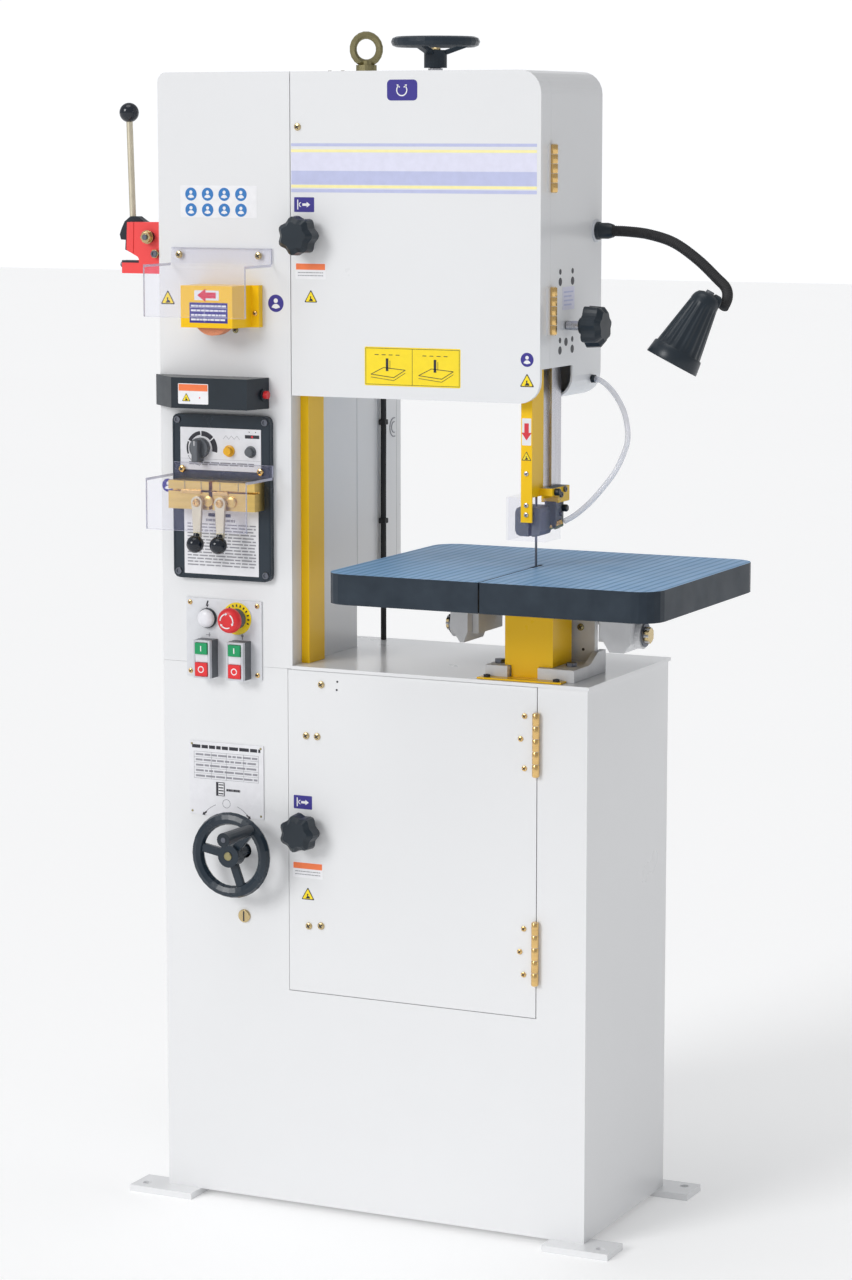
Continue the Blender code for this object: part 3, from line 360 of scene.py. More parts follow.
def front(points, y, thick=DECAL):
    """An outline of (x, z) pairs standing thick proud of the plane y, facing the front."""
    bm = outline_prism(points, 0.0, thick)
    turn = Matrix(((1, 0, 0, 0), (0, 0, -1, 0), (0, 1, 0, 0), (0, 0, 0, 1)))
    bmesh.ops.transform(bm, matrix=Matrix.Translation(at(0, y, 0)) @ turn, verts=bm.verts)
    return bm


def side(points, x, thick=DECAL):
    """An outline of (y, z) pairs standing thick proud of the plane x, facing right."""
    bm = outline_prism(points, 0.0, thick)
    turn = Matrix(((0, 0, 1, 0), (1, 0, 0, 0), (0, 1, 0, 0), (0, 0, 0, 1)))
    bmesh.ops.transform(bm, matrix=Matrix.Translation(at(x, 0, 0)) @ turn, verts=bm.verts)
    return bm


def arc(cx, cy, radius, start, end, steps=12):
    """Points on an arc between two angles in degrees."""
    points = []
    for i in range(steps + 1):
        angle = radians(start + (end - start) * i / steps)
        points.append((cx + radius * cos(angle), cy + radius * sin(angle)))
    return points


def oblong(x0, x1, z0, z1, radius=0.0):
    if not radius:
        return [(x0, z0), (x1, z0), (x1, z1), (x0, z1)]
    points = arc(x0 + radius, z0 + radius, radius, 180, 270, 5)
    points += arc(x1 - radius, z0 + radius, radius, 270, 360, 5)
    points += arc(x1 - radius, z1 - radius, radius, 0, 90, 5)
    return points + arc(x0 + radius, z1 - radius, radius, 90, 180, 5)


def disc(cx, cz, radius, steps=32):
    return arc(cx, cz, radius, 0, 360 * (steps - 1) / steps, steps - 1)


def band(cx, cz, inner, outer, start, end, steps=12):
    """A piece of a flat ring between two angles."""
    return arc(cx, cz, outer, start, end, steps) + arc(cx, cz, inner, end, start, steps)


def merged(*parts):
    """Several shapes in one bmesh."""
    whole = bmesh.new()
    for part in parts:
        mesh = bpy.data.meshes.new("part")
        part.to_mesh(mesh)
        part.free()
        whole.from_mesh(mesh)
        bpy.data.meshes.remove(mesh)
    return whole


def smooth_route(points, steps=8):
    """Points on a smooth curve through the route's points."""
    route = []
    last = len(points) - 1
    for i in range(last):
        before, here = Vector(points[max(i - 1, 0)]), Vector(points[i])
        there, after = Vector(points[i + 1]), Vector(points[min(i + 2, last)])
        for k in range(steps):
            t = k / steps
            bend = (2 * before - 5 * here + 4 * there - after) * t**2
            turn = (3 * here - before - 3 * there + after) * t**3
            route.append(0.5 * (2 * here + (there - before) * t + bend + turn))
    route.append(Vector(points[-1]))
    return route


def sweep(route, radius, sides):
    """A round tube along a route; radius is a number or a function of the distance along it."""
    bm = bmesh.new()
    rings = []
    normal = None
    travelled = 0.0
    for i, point in enumerate(route):
        way = (route[min(i + 1, len(route) - 1)] - route[max(i - 1, 0)]).normalized()
        if i:
            travelled += (point - route[i - 1]).length
        if normal is None:
            normal = way.orthogonal().normalized()
        normal = (normal - way * normal.dot(way)).normalized()
        across = way.cross(normal)
        reach = radius(travelled) if callable(radius) else radius
        ring = []
        for k in range(sides):
            angle = 2 * pi * k / sides
            ring.append(bm.verts.new(point + (normal * cos(angle) + across * sin(angle)) * reach))
        rings.append(ring)
    for below, above in zip(rings, rings[1:]):
        skin(bm, below, above)
    bm.faces.new(rings[0])
    bm.faces.new(rings[-1])
    return bm


def length_of(route):
    return sum((b - a).length for a, b in zip(route, route[1:]))


def resampled(route, spacing):
    """The route again, with points at an even spacing."""
    total = length_of(route)
    count = max(int(total / spacing), 2)
    points = []
    index, walked = 0, 0.0
    for i in range(count + 1):
        target = total * i / count
        while index < len(route) - 2 and walked + (route[index + 1] - route[index]).length < target:
            walked += (route[index + 1] - route[index]).length
            index += 1
        stretch = (route[index + 1] - route[index]).length
        share = min(max((target - walked) / stretch, 0.0), 1.0) if stretch else 0.0
        points.append(route[index].lerp(route[index + 1], share))
    return points


def dress(node, look, bevel=0.0):
    """Gives a CAD node its finish, smooth shading, and softened edges."""
    item = NODES[node]
    item.data.materials.clear()
    item.data.materials.append(look)
    item.data.shade_smooth()
    item.data.set_sharp_from_angle(angle=radians(30))
    if bevel:
        soften(item, bevel)


# Small parts


def decal(name, outline, y, look, body="frame", thick=DECAL, bevel=0.0):
    """A flat print or plate of (x, z) pairs on the plane y."""
    return piece(name, front(outline, y, thick), look, body, bevel)


def decals(name, outlines, y, look, body="frame"):
    """Several flat prints in one piece."""
    return piece(name, merged(*[front(outline, y) for outline in outlines]), look, body)


def turned(name, profile, steps, centre, way, look, body="frame"):
    """A lathed piece that stands on a point."""
    return piece(name, placed(lathe(profile, steps), centre, way), look, body)


def ball(name, radius, rows, steps, centre, look, body):
    """A ball whose profile has a point on each pole and rows - 1 points between them."""
    angles = [-pi / 2 + pi * i / rows for i in range(1, rows)]
    profile = [(0, -radius)] + [(radius * cos(a), radius * sin(a)) for a in angles] + [(0, radius)]
    return turned(name, profile, steps, centre, UP, look, body)


def collar(inner, outer, low, high):
    """The profile of a plain ring."""
    return [(inner, low), (outer, low), (outer, high), (inner, high)]


def screw(name, centre, direction, radius, body="frame", look=ZINC):
    """A pan-head screw with a cross recess."""
    head = [(0, -0.0002), (radius, -0.0002), (radius, radius * 0.22), (radius * 0.86, radius * 0.46)]
    turned(name, head + [(radius * 0.5, radius * 0.58), (0, radius * 0.6)], 24, centre, direction, look, body)
    # The cross recess is black bars on the head: painted shade for the recess.
    arm, half, top = radius * 0.6, radius * 0.17, radius * 0.61
    low = top - radius * 0.2
    bars = box((-arm, -half, low), (arm, half, top)), box((-half, -arm, low), (half, arm, top + 0.00001))
    piece(name + "_recess", placed(merged(*bars), centre, direction, 0.6), BLACK_PRINT_AND_SHADE, body)


def screws(name, spots, y, radius, body="frame", look=ZINC):
    """Numbered screws that face the front, at (x, z) pairs on the plane y."""
    for number, (x, z) in enumerate(spots):
        screw(f"{name}_{number}", at(x, y, z), FRONT, radius, body, look)


def hexagon(name, centre, direction, radius, thick, body, look=ZINC, bevel=None):
    """A hexagon head or nut."""
    bm = outline_prism(disc(0, 0, radius, 6), 0.0, thick)
    return piece(name, placed(bm, centre, direction), look, body, bevel or radius * 0.08)


def socket_screw(name, centre):
    """A dark cap screw with a hexagon socket, facing the front."""
    head = [
        (0, 0), (0.0052, 0), (0.0052, 0.0015), (0.0046, 0.0021), (0.003, 0.0021), (0.0028, 0.0006),
        (0, 0.0006),
    ]
    turned(name, head, 24, centre, FRONT, DARK_STEEL)


def triangle(cx, cz, size):
    """An upright triangle with small round corners, size across."""
    reach = size / 2 / cos(radians(30)) - 0.1 * size
    points = []
    for angle in (90, 210, 330):
        x, z = cx + reach * cos(radians(angle)), cz + reach * sin(radians(angle))
        points += arc(x, z, 0.05 * size, angle - 60, angle + 60, 4)
    return points


def hazard_triangle(name, cx, cz, size, y, body="frame"):
    """A plain yellow triangle with a dark border and an abstract mark."""
    decal(name + "_edge", triangle(cx, cz, size), y, BLACK_PRINT_AND_SHADE, body)
    decal(name + "_field", triangle(cx, cz, size * 0.8), y - DECAL, YELLOW_FILM, body)
    mark = [
        (-0.16, -0.2), (0.18, -0.2), (0.12, -0.06), (0.02, -0.02), (0.04, 0.12), (-0.06, 0.12),
        (-0.05, -0.04),
    ]
    points = [(cx + x * size, cz + z * size) for x, z in mark]
    decal(name + "_mark", points, y - 2 * DECAL, BLACK_PRINT_AND_SHADE, body, DECAL * 0.6)


def mandatory_disc(name, cx, cz, radius, y, body="frame", look=BLUE):
    """A plain round sign with a pale abstract figure."""
    decal(name + "_field", disc(cx, cz, radius), y, look, body)
    decal(name + "_head", disc(cx, cz + radius * 0.3, radius * 0.27, 16), y - DECAL, PAPER, body)
    trunk = band(cx, cz - radius * 0.62, 0.0001, radius * 0.56, 15, 165, 8)
    decal(name + "_trunk", trunk, y - DECAL, PAPER, body)


def text_bars(name, x0, x1, z0, z1, rows, y, look=GREY_INK, fill=0.34, seed=1, body="frame"):
    """Rows of short bars that stand for print too small to read."""
    bars = []
    step = (z1 - z0) / rows
    state, limit = seed, 2**31
    for row in range(rows):
        z = z1 - step * (row + 0.5)
        x = x0
        while x < x1:
            state = (state * 1103515245 + 12345) % limit
            wide = (0.05 + 0.11 * state / limit) * (x1 - x0)
            end = min(x + wide, x1)
            if end - x > 0.02 * (x1 - x0):
                bars.append(oblong(x, end, z - step * fill / 2, z + step * fill / 2))
            x = end + 0.018 * (x1 - x0)
    decals(name, bars, y, look, body)


def notice(name, x0, x1, z0, z1, body):
    """A white notice on a door, with an orange heading bar and unreadable lines."""
    decal(name + "_film", oblong(x0, x1, z0, z1, 0.0015), 0.0, PAPER, body)
    head = z1 - (z1 - z0) * 0.42
    decal(name + "_heading", oblong(x0 + 0.001, x1 - 0.001, head, z1 - 0.001), -DECAL, ORANGE_FILM, body)
    rows = (x0 + 0.004, x1 - 0.004, z0 + 0.003, head - 0.002, 2)
    text_bars(name + "_lines", *rows, -DECAL, fill=0.26, body=body)


def arrow(cx, cz, size, turn):
    """A fat arrow that points along turn, in degrees."""
    shape = [
        (-0.5, -0.14), (0.05, -0.14), (0.05, -0.32), (0.5, 0.0), (0.05, 0.32), (0.05, 0.14), (-0.5, 0.14),
    ]
    c, s = cos(radians(turn)), sin(radians(turn))
    return [(cx + size * (x * c - z * s), cz + size * (x * s + z * c)) for x, z in shape]


def stroke(start, end, wide):
    """A straight line of a given width between two (x, z) points."""
    dx, dz = end[0] - start[0], end[1] - start[1]
    long = (dx * dx + dz * dz) ** 0.5
    ox, oz = -dz / long * wide / 2, dx / long * wide / 2
    (x0, z0), (x1, z1) = start, end
    return [(x0 - ox, z0 - oz), (x1 - ox, z1 - oz), (x1 + ox, z1 + oz), (x0 + ox, z0 + oz)]


# The finish of each CAD node that stays in view: material, edge rounding in millimetres, nodes

FINISHES = (
    (WHITE, 1.2, "cabinet_shell column_box lower_door"), (WHITE, 0.8, "cabinet_top_plate"),
    (WHITE, 1.5, "head_housing electrics_box"), (WHITE, 3.5, "upper_door"),
    (YELLOW, 0.9, "column_blade_guard lower_blade_guard upper_blade_guard grinder_guard"),
    (RED_PAINT, 0.8, "shear_body"), (CAST_WHITE, 1.0, "trunnion_base"), (CAST_WHITE, 1.2, "table_cradle"),
    (CAST_WHITE, 1.5, "left_table_bracket right_table_bracket"), (TABLE, 1.4, "work_table"),
    (STEEL, 0.8, "guide_post motor_sheave sliding_sheave"), (CAST_DARK, 1.0, "guide_arm"),
    (CAST_DARK, 1.2, "upper_wheel lower_wheel lower_bearing tension_block"), (CASE_GREY, 1.5, "drive_motor"),
    (RUBBER, 0.8, "drive_belt"), (RUBBER, 0.0, "box_cable"), (DARK_STEEL, 0.0, "saw_blade"),
    (OLIVE_ZINC, 1.0, "lifting_eye"), (NAVY, 1.2, "tension_handwheel welder_panel"),
    (NAVY, 1.4, "speed_handwheel"),
    (BLACK, 2.0, "crank_grip"), (BLACK, 2.2, "upper_door_knob lower_door_knob post_clamp_knob"),
    (BLACK, 1.6, "shear_lever"), (BLACK, 1.2, "lamp_hood"), (JAW_BRASS, 0.6, "welder_jaws"),
    (PANEL_GREY, 0.6, "control_panel"), (PLATE, 0.4, "speed_plate"), (STONE, 1.0, "grinding_wheel"),
    (CLEAR, 0.4, "clear_guard grinder_shield welder_shield"), (RED_BUTTON, 0.9, "hood_button"),
    (AMBER_BUTTON, 1.0, "weld_button"), (GREY_PLASTIC, 1.0, "anneal_button"),
    (GREY_PLASTIC, 1.2, "pressure_knob"),
    (GREEN_BUTTON, 0.8, "saw_start_button grinder_start_button"),
    (RED_BUTTON, 0.8, "saw_stop_button grinder_stop_button"),
)


def finish_nodes():
    for look, rounding, nodes in FINISHES:
        for node in nodes.split():
            dress(node, look, rounding / 1000)


# Head, door and their labels


def hinge_barrel(name, x, y, z0, z1, body):
    """Five brass knuckles round a hinge's pin, with a pin head at each end."""
    count = 5
    step = (z1 - z0) / count
    knuckles = []
    for i in range(count):
        low, high = z0 + step * i + 0.0003, z0 + step * (i + 1) - 0.0003
        lower = [(0, low), (0.0049, low), (0.0053, low + 0.0006)]
        upper = [(0.0053, high - 0.0006), (0.0049, high), (0, high)]
        knuckles.append(lathe(lower + upper, 28))
    bm = merged(lathe(collar(0, 0.004, z0 - 0.0006, z1 + 0.0006), 20), *knuckles)
    bmesh.ops.translate(bm, vec=at(x, y, 0), verts=bm.verts)
    piece(name, bm, BRASS, body)


def upper_door():
    body = "upper_door"
    low, high = 1.5, 1.569
    stripes = (
        ("line_low", 0.93, 1.0, LAVENDER), ("gold_low", 0.85, 0.905, LEMON),
        ("deep_field", 0.56, 0.84, LAVENDER),
        ("pale_field", 0.19, 0.56, PALE_LAVENDER), ("gold_high", 0.125, 0.18, LEMON),
        ("line_high", 0.0, 0.06, LAVENDER),
    )
    for name, start, end, look in stripes:
        z1, z0 = high - (high - low) * start, high - (high - low) * end
        decal("stripe_" + name, oblong(0.2175, 0.599, z0, z1), 0.0, look, body)
    decal("rotation_label", oblong(0.3695, 0.4165, 1.6285, 1.6575, 0.006), 0.0, BLUE, body)
    ring = band(0.3925, 1.643, 0.007, 0.0086, 130, 410, 24)
    heads = [arrow(0.3925 + way * 0.0056, 1.6488, 0.0062, 90 - way * 50) for way in (-1, 1)]
    decals("rotation_mark", [ring] + heads, -DECAL, PAPER, body)
    key_label("upper_key_label", 0.222, 0.254, 1.472, 1.493, body)
    notice("upper_notice", 0.2235, 0.272, 1.377, 1.4, body)
    hazard_triangle("upper_hazard", 0.248, 1.35, 0.021, 0.0, body)
    hazard_triangle("cut_hazard", 0.5855, 1.24, 0.022, 0.0, body)
    mandatory_disc("glasses_sign", 0.5855, 1.2715, 0.0098, 0.0, body)
    machine_plate()
    screw("latch_screw", at(0.228, 0.0, 1.592), FRONT, 0.0052, body)
    for number, (z0, z1) in enumerate(((1.502, 1.568), (1.305, 1.371))):
        hinge_barrel(f"upper_hinge_{number}", 0.6098, 0.035, z0, z1, body)


def key_label(name, x0, x1, z0, z1, body):
    """A violet label with a white bar and an arrow from it."""
    decal(name, oblong(x0, x1, z0, z1, 0.0012), 0.0, BLUE, body)
    middle = (z0 + z1) / 2
    bar = oblong(x0 + 0.005, x0 + 0.0066, z0 + 0.0035, z1 - 0.0035)
    hook = band(x0 + 0.011, middle, 0.0022, 0.0034, 90, 270, 8)
    decals(name + "_tool", (bar, hook, arrow((x0 + x1) / 2 + 0.0035, middle, 0.0125, 0)), -DECAL, PAPER, body)


def machine_plate():
    """The yellow plate low on the door, split in two, with a bordered drawing of a table in each half."""
    body = "upper_door"
    x0, x1, z0, z1 = 0.3335, 0.4835, 1.2285, 1.2835
    middle = (x0 + x1) / 2
    decal("table_chart", oblong(x0, x1, z0, z1, 0.002), 0.0, YELLOW_FILM, body)
    rim, line = 0.0016, 0.0006
    rules = [
        oblong(x0 + rim, x1 - rim, z1 - rim - line, z1 - rim),
        oblong(x0 + rim, x1 - rim, z0 + rim, z0 + rim + line),
        oblong(x0 + rim, x0 + rim + line, z0 + rim, z1 - rim),
        oblong(x1 - rim - line, x1 - rim, z0 + rim, z1 - rim),
        oblong(middle - line / 2, middle + line / 2, z0 + rim, z1 - rim),
    ]
    decals("table_chart_rules", rules, -DECAL, BLACK_PRINT_AND_SHADE, body)
    for number, left in enumerate((x0 + 0.01, middle + 0.01)):
        table_drawing(f"table_drawing_{number}", left, z0 + 0.012, body)


def table_drawing(name, x, z, body):
    """A small line drawing of a table in perspective, with a post over it and dashes above."""
    corners = [(x, z + 0.004), (x + 0.036, z), (x + 0.054, z + 0.011), (x + 0.02, z + 0.014)]
    strokes = [stroke(a, b, 0.0009) for a, b in zip(corners, corners[1:] + corners[:1])]
    low = [(x, z), (x + 0.036, z - 0.0042), (x + 0.054, z + 0.007)]
    strokes += [stroke(a, b, 0.0007) for a, b in zip(low, low[1:])]
    strokes.append(oblong(x + 0.0235, x + 0.0275, z + 0.009, z + 0.027))
    strokes.append(stroke((x + 0.03, z + 0.012), (x + 0.03, z + 0.024), 0.0007))
    for step in range(4):
        start = x + 0.006 + 0.011 * step
        strokes.append(oblong(start, start + 0.006, z + 0.0315, z + 0.0325))
    decals(name, strokes, -DECAL, BLACK_PRINT_AND_SHADE, body)


def head_side():
    # The holes are black discs: painted shade where the openings are.
    holes = [side(disc(0.0915, 1.292, 0.0058), SIDE_X)]
    for y, z in ((0.07, 1.381), (0.114, 1.381), (0.07, 1.285), (0.114, 1.285)):
        holes += [side(disc(y, z + 0.01, 0.004), SIDE_X), side(disc(y, z - 0.004, 0.0058), SIDE_X)]
    piece("side_holes", merged(*holes), BLACK_PRINT_AND_SHADE, "frame")
    piece("side_label", side(oblong(0.078, 0.121, 1.337, 1.3695, 0.002), SIDE_X), PALE_LAVENDER, "frame")
    lines = []
    for row in range(4):
        z = 1.361 - row * 0.006
        lines.append(side(oblong(0.083, 0.116 - 0.006 * (row % 2), z, z + 0.0022), SIDE_X + DECAL))
    piece("side_label_lines", merged(*lines), LAVENDER, "frame")
    # The hose outlet is a black disc: painted shade in the opening.
    piece("hose_outlet", side(disc(0.188, 1.234, 0.0062), SIDE_X), BLACK_PRINT_AND_SHADE, "frame")
    turned("hose_ferrule", collar(0.0041, 0.0058, 0, 0.005), 24, at(SIDE_X, 0.188, 1.234), RIGHT, BLACK)
    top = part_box("head_housing")[1].z - CORNER.z
    for number, place in enumerate((0.229, 0.25)):
        screw(f"top_screw_{number}", at(place, 0.1, top), UP, 0.004)


def post_clamp():
    sleeve = collar(0.0057, 0.0066, 0, 0.019)
    turned("post_clamp_sleeve", sleeve, 32, at(0.6065, 0.093, 1.315), RIGHT, STEEL, "post_clamp")


def tension_wheel():
    low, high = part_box("tension_handwheel")
    centre = (low + high) / 2
    nut = [(0, 0), (0.0075, 0), (0.0075, 0.002), (0.006, 0.0035), (0, 0.0035)]
    place = Vector((centre.x, centre.y, CORNER.z + 1.7))
    turned("tension_nut", nut, 24, place, UP, ZINC, "tension_wheel")
    bush = lathe(collar(0, 0.0105, 1.6706, 1.6742), 32)
    bmesh.ops.translate(bush, vec=(centre.x, centre.y, 0), verts=bush.verts)
    piece("tension_bush", bush, STEEL, "tension_wheel")


# Column front: grinder, hood, welder


def grinder():
    face = -0.055
    decal("grinder_label", oblong(0.0885, 0.1285, 1.3465, 1.3605, 0.001), face, PAPER)
    decal("grinder_arrow", arrow(0.1085, 1.3535, 0.03, 180), face - DECAL, RED_FILM)
    decal("grinder_chart", oblong(0.0805, 0.1425, 1.314, 1.343), face, BLUE)
    text_bars("grinder_chart_lines", 0.083, 0.14, 1.3155, 1.3415, 4, face - DECAL, PAPER, 0.4, 3)
    rules = (
        oblong(0.0815, 0.1415, 1.3355, 1.3359), oblong(0.0815, 0.1415, 1.3225, 1.3229),
        oblong(0.1045, 0.1049, 1.315, 1.3355),
    )
    decals("grinder_chart_rules", rules, face - DECAL, PAPER)
    screw("grinder_flange_screw", at(0.164, -0.012, 1.327), FRONT, 0.004, look=BRASS)
    screw("grinder_rest_bolt", at(0.1255, 0.0, 1.3015), FRONT, 0.0045, look=OLIVE_ZINC)
    nut = [(0, 0), (0.01, 0), (0.01, 0.0022), (0.0075, 0.003), (0, 0.003)]
    turned("grinder_nut", nut, 28, at(0.112, -0.046, 1.328), FRONT, STEEL, "grinding_wheel")
    screws("grinder_shield_screw", ((0.036, 1.409), (0.166, 1.409)), -0.0043, 0.0054)
    hazard_triangle("grinder_hazard", 0.014, 1.3435, 0.024, 0.0)
    mandatory_disc("mask_sign", 0.1915, 1.3415, 0.0125, 0.0)
    mandatory_disc("welding_mask_sign", 0.011, 1.0715, 0.0098, 0.0)
    protective_sheet()
    shield_edges("grinder_shield", 0.022, 0.186, -0.0003, -0.085, 1.419, 1.397, 1.323)
    shield_edges("welder_shield", 0.028, 0.191, -0.0103, -0.095, 1.108, 1.0915, 1.018)


def protective_sheet():
    """The sheet of protective-wear signs above the grinder."""
    x0, x1, z0, z1 = 0.0365, 0.1615, 1.4625, 1.5085
    decal("wear_sheet", oblong(x0, x1, z0, z1, 0.0015), 0.0, PAPER)
    for column in range(4):
        for row in range(2):
            x, z = x0 + 0.0176 + 0.0273 * column, z1 - 0.0125 - 0.0225 * row
            mandatory_disc(f"wear_sign_{row}_{column}", x, z, 0.0094, -DECAL, look=SKY)


def shield_edges(name, x0, x1, back, front_y, top, shelf, bottom):
    """The bright sawn edges of a clear shield."""
    thick, rim = 0.0038, 0.0003
    strips = []
    ends = ((front_y, back - thick, shelf - thick, shelf), (front_y, front_y + thick, bottom, shelf - thick))
    for end in ends:
        strips += [(x0 - rim, x0, *end), (x1, x1 + rim, *end)]
    strips.append((x0, x1, front_y, front_y + thick, bottom - rim, bottom))
    wall = (back - thick, back - 0.0002)
    strips += [(x0, x1, *wall, top, top + rim), (x1, x1 + rim, *wall, shelf, top)]
    piece(name + "_edges", merged(*[block(*strip) for strip in strips]), CLEAR_EDGE, "frame")


def hood():
    face = -0.05
    x0, x1, z0, z1 = 0.0575, 0.107, 1.1965, 1.226
    decal("hood_label", oblong(x0, x1, z0, z1, 0.0015), face, PAPER)
    heading = oblong(x0 + 0.001, x1 - 0.001, z1 - 0.0105, z1 - 0.001)
    decal("hood_label_heading", heading, face - DECAL, ORANGE_FILM)
    hazard_triangle("hood_hazard", x0 + 0.0135, z0 + 0.008, 0.014, face - DECAL)
    decal("hood_label_dot", disc(x1 - 0.014, z0 + 0.0095, 0.0011), face - DECAL, RED_FILM)
    ring = [(0.0063, 0), (0.0085, 0), (0.0085, 0.0018), (0.0063, 0.0022)]
    turned("hood_button_collar", ring, 28, at(0.1775, -0.014, 1.2105), RIGHT, BLACK)


def welder():
    face = -0.01
    for x in (0.0335, 0.1775):
        for z in (0.9475, 1.17):
            socket_screw(f"panel_screw_{int(x * 1000)}_{int(z * 1000)}", at(x, face, z))
    rim = (
        (0.0265, 0.028, 0.948, 1.169), (0.1832, 0.1847, 0.948, 1.169), (0.035, 0.176, 0.9395, 0.941),
        (0.035, 0.176, 1.1762, 1.1777),
    )
    piece("panel_rim", merged(*[front(oblong(*bar), face, 0.0006) for bar in rim]), NAVY, "frame")
    plate = face - 0.0012
    outline = oblong(0.0385, 0.1715, 1.0975, 1.1595, 0.001)
    decal("weld_plate", outline, face, PLATE, thick=0.0012, bevel=0.0003)
    weld_dial(plate)
    weld_marks(plate)
    notes = face - 0.001
    outline = oblong(0.0435, 0.1665, 0.945, 1.0405, 0.0008)
    decal("caution_plate", outline, face, PLATE, thick=0.001, bevel=0.0003)
    decal("caution_heading", oblong(0.084, 0.121, 1.03, 1.035, 0.001), notes, BLACK_PRINT_AND_SHADE)
    text_bars("caution_subheading", 0.08, 0.128, 1.0225, 1.027, 1, notes, fill=0.8, seed=6)
    text_bars("caution_text", 0.049, 0.162, 0.956, 1.021, 14, notes, fill=0.4, seed=2)
    for x, name in ((0.043, "left"), (0.172, "right")):
        screw(f"welder_shield_screw_{name}", at(x, -0.0143, 1.0985), FRONT, 0.0052, look=BRASS)
    jaw_hardware()
    ring = [(0.0064, 0), (0.0086, 0), (0.0086, 0.0026), (0.0064, 0.0034)]
    for node, x, look in (("weld_button", 0.12, AMBER_BUTTON), ("anneal_button", 0.155, GREY_PLASTIC)):
        turned(node + "_collar", ring, 32, at(x, face, 1.127), FRONT, look)
    decal("pressure_pointer", oblong(0.0725, 0.0735, 1.1345, 1.1415), -0.0323, PAPER, "pressure_knob")


def weld_dial(plate):
    """Dial segments that thicken clockwise round the pressure knob."""
    segments = (
        (205, 262, 0.0005), (157, 200, 0.0026), (97, 152, 0.0055), (43, 92, 0.0072), (-12, 38, 0.0085),
    )
    for number, (start, end, thick) in enumerate(segments):
        ring = band(0.0745, 1.129, 0.0255 - thick, 0.0255, start, end, 10)
        decal(f"dial_segment_{number}", ring, plate, BLACK_PRINT_AND_SHADE)


def weld_marks(plate):
    decal("weld_window", oblong(0.1455, 0.169, 1.1462, 1.1512), plate, BLACK_PRINT_AND_SHADE)
    decal("weld_window_spot", disc(0.1573, 1.1487, 0.0017), plate - DECAL, RED_FILM)
    decals("weld_window_dots", (disc(0.1525, 1.1555, 0.0008), disc(0.163, 1.1555, 0.0008)), plate, BLACK_PRINT_AND_SHADE)
    zigzag = []
    for i in range(6):
        x = 0.1095 + 0.0045 * i
        low, high = (1.1492, 1.144) if i % 2 else (1.144, 1.1492)
        zigzag.append([(x, low), (x + 0.0006, low), (x + 0.0051, high), (x + 0.0045, high)])
    decals("weld_wave", zigzag, plate, GREY_INK)
    decal("weld_rule", oblong(0.0395, 0.171, 1.1136, 1.1139), plate, GREY_INK)
    text_bars("weld_words", 0.053, 0.16, 1.1045, 1.1105, 2, plate, fill=0.5, seed=7)


def jaw_hardware():
    for number, x in enumerate((0.0615, 0.0885, 0.1195, 0.1495)):
        seam = block(x - 0.0004, x + 0.0004, -0.0403, -0.0395, 1.072, 1.0838)
        piece(f"jaw_seam_{number}", seam, DARK_STEEL, "frame")
    piece("jaw_left_strip", block(0.056, 0.0895, -0.0435, -0.0398, 1.066, 1.0715), BRASS, "frame", 0.0005)
    piece("jaw_right_strip", block(0.108, 0.133, -0.0425, -0.0398, 1.065, 1.07), BRASS, "frame", 0.0005)
    boss = [
        (0, 0), (0.008, 0), (0.008, 0.0035), (0.0065, 0.0045), (0.003, 0.0045), (0.0026, 0.0036),
        (0, 0.0036),
    ]
    for number, x in enumerate((0.101, 0.1385)):
        turned(f"jaw_boss_{number}", boss, 28, at(x, -0.0398, 1.056), FRONT, JAW_BRASS)
    for name, x in (("left_clamp_lever", 0.086), ("right_clamp_lever", 0.124)):
        clamp_lever(name, x)


def clamp_lever(name, x):
    """A pale zinc lever with a round eye, a brass pivot screw and a glossy black ball."""
    pivot, tip, back, face = 1.054, 0.998, -0.0452, -0.0504
    outline = arc(x, pivot, 0.0092, 10, 170, 12) + [(x - 0.0078, pivot - 0.01), (x - 0.0052, tip)]
    outline += [(x + 0.0052, tip), (x + 0.0078, pivot - 0.01)]
    blade = decal(name + "_bar", outline, back, CREAM_ZINC, name, back - face, 0.0006)
    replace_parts(blade, name)
    hub = [
        (0, 0), (0.0062, 0), (0.0062, 0.0008), (0.0052, 0.0026), (0.0026, 0.003), (0.0022, 0.0016),
        (0, 0.0016),
    ]
    turned(name + "_screw", hub, 28, at(x, face, pivot), FRONT, BRASS, name)
    ball(name + "_ball", 0.0128, 16, 32, at(x, -0.055, 0.994), BALL_BLACK, name)
    neck = [(0, 0), (0.0048, 0), (0.0042, 0.006), (0, 0.006)]
    turned(name + "_neck", neck, 20, at(x, -0.052, 1.0035), (0, 0.25, 1), BALL_BLACK, name)


# Control plate and speed plate


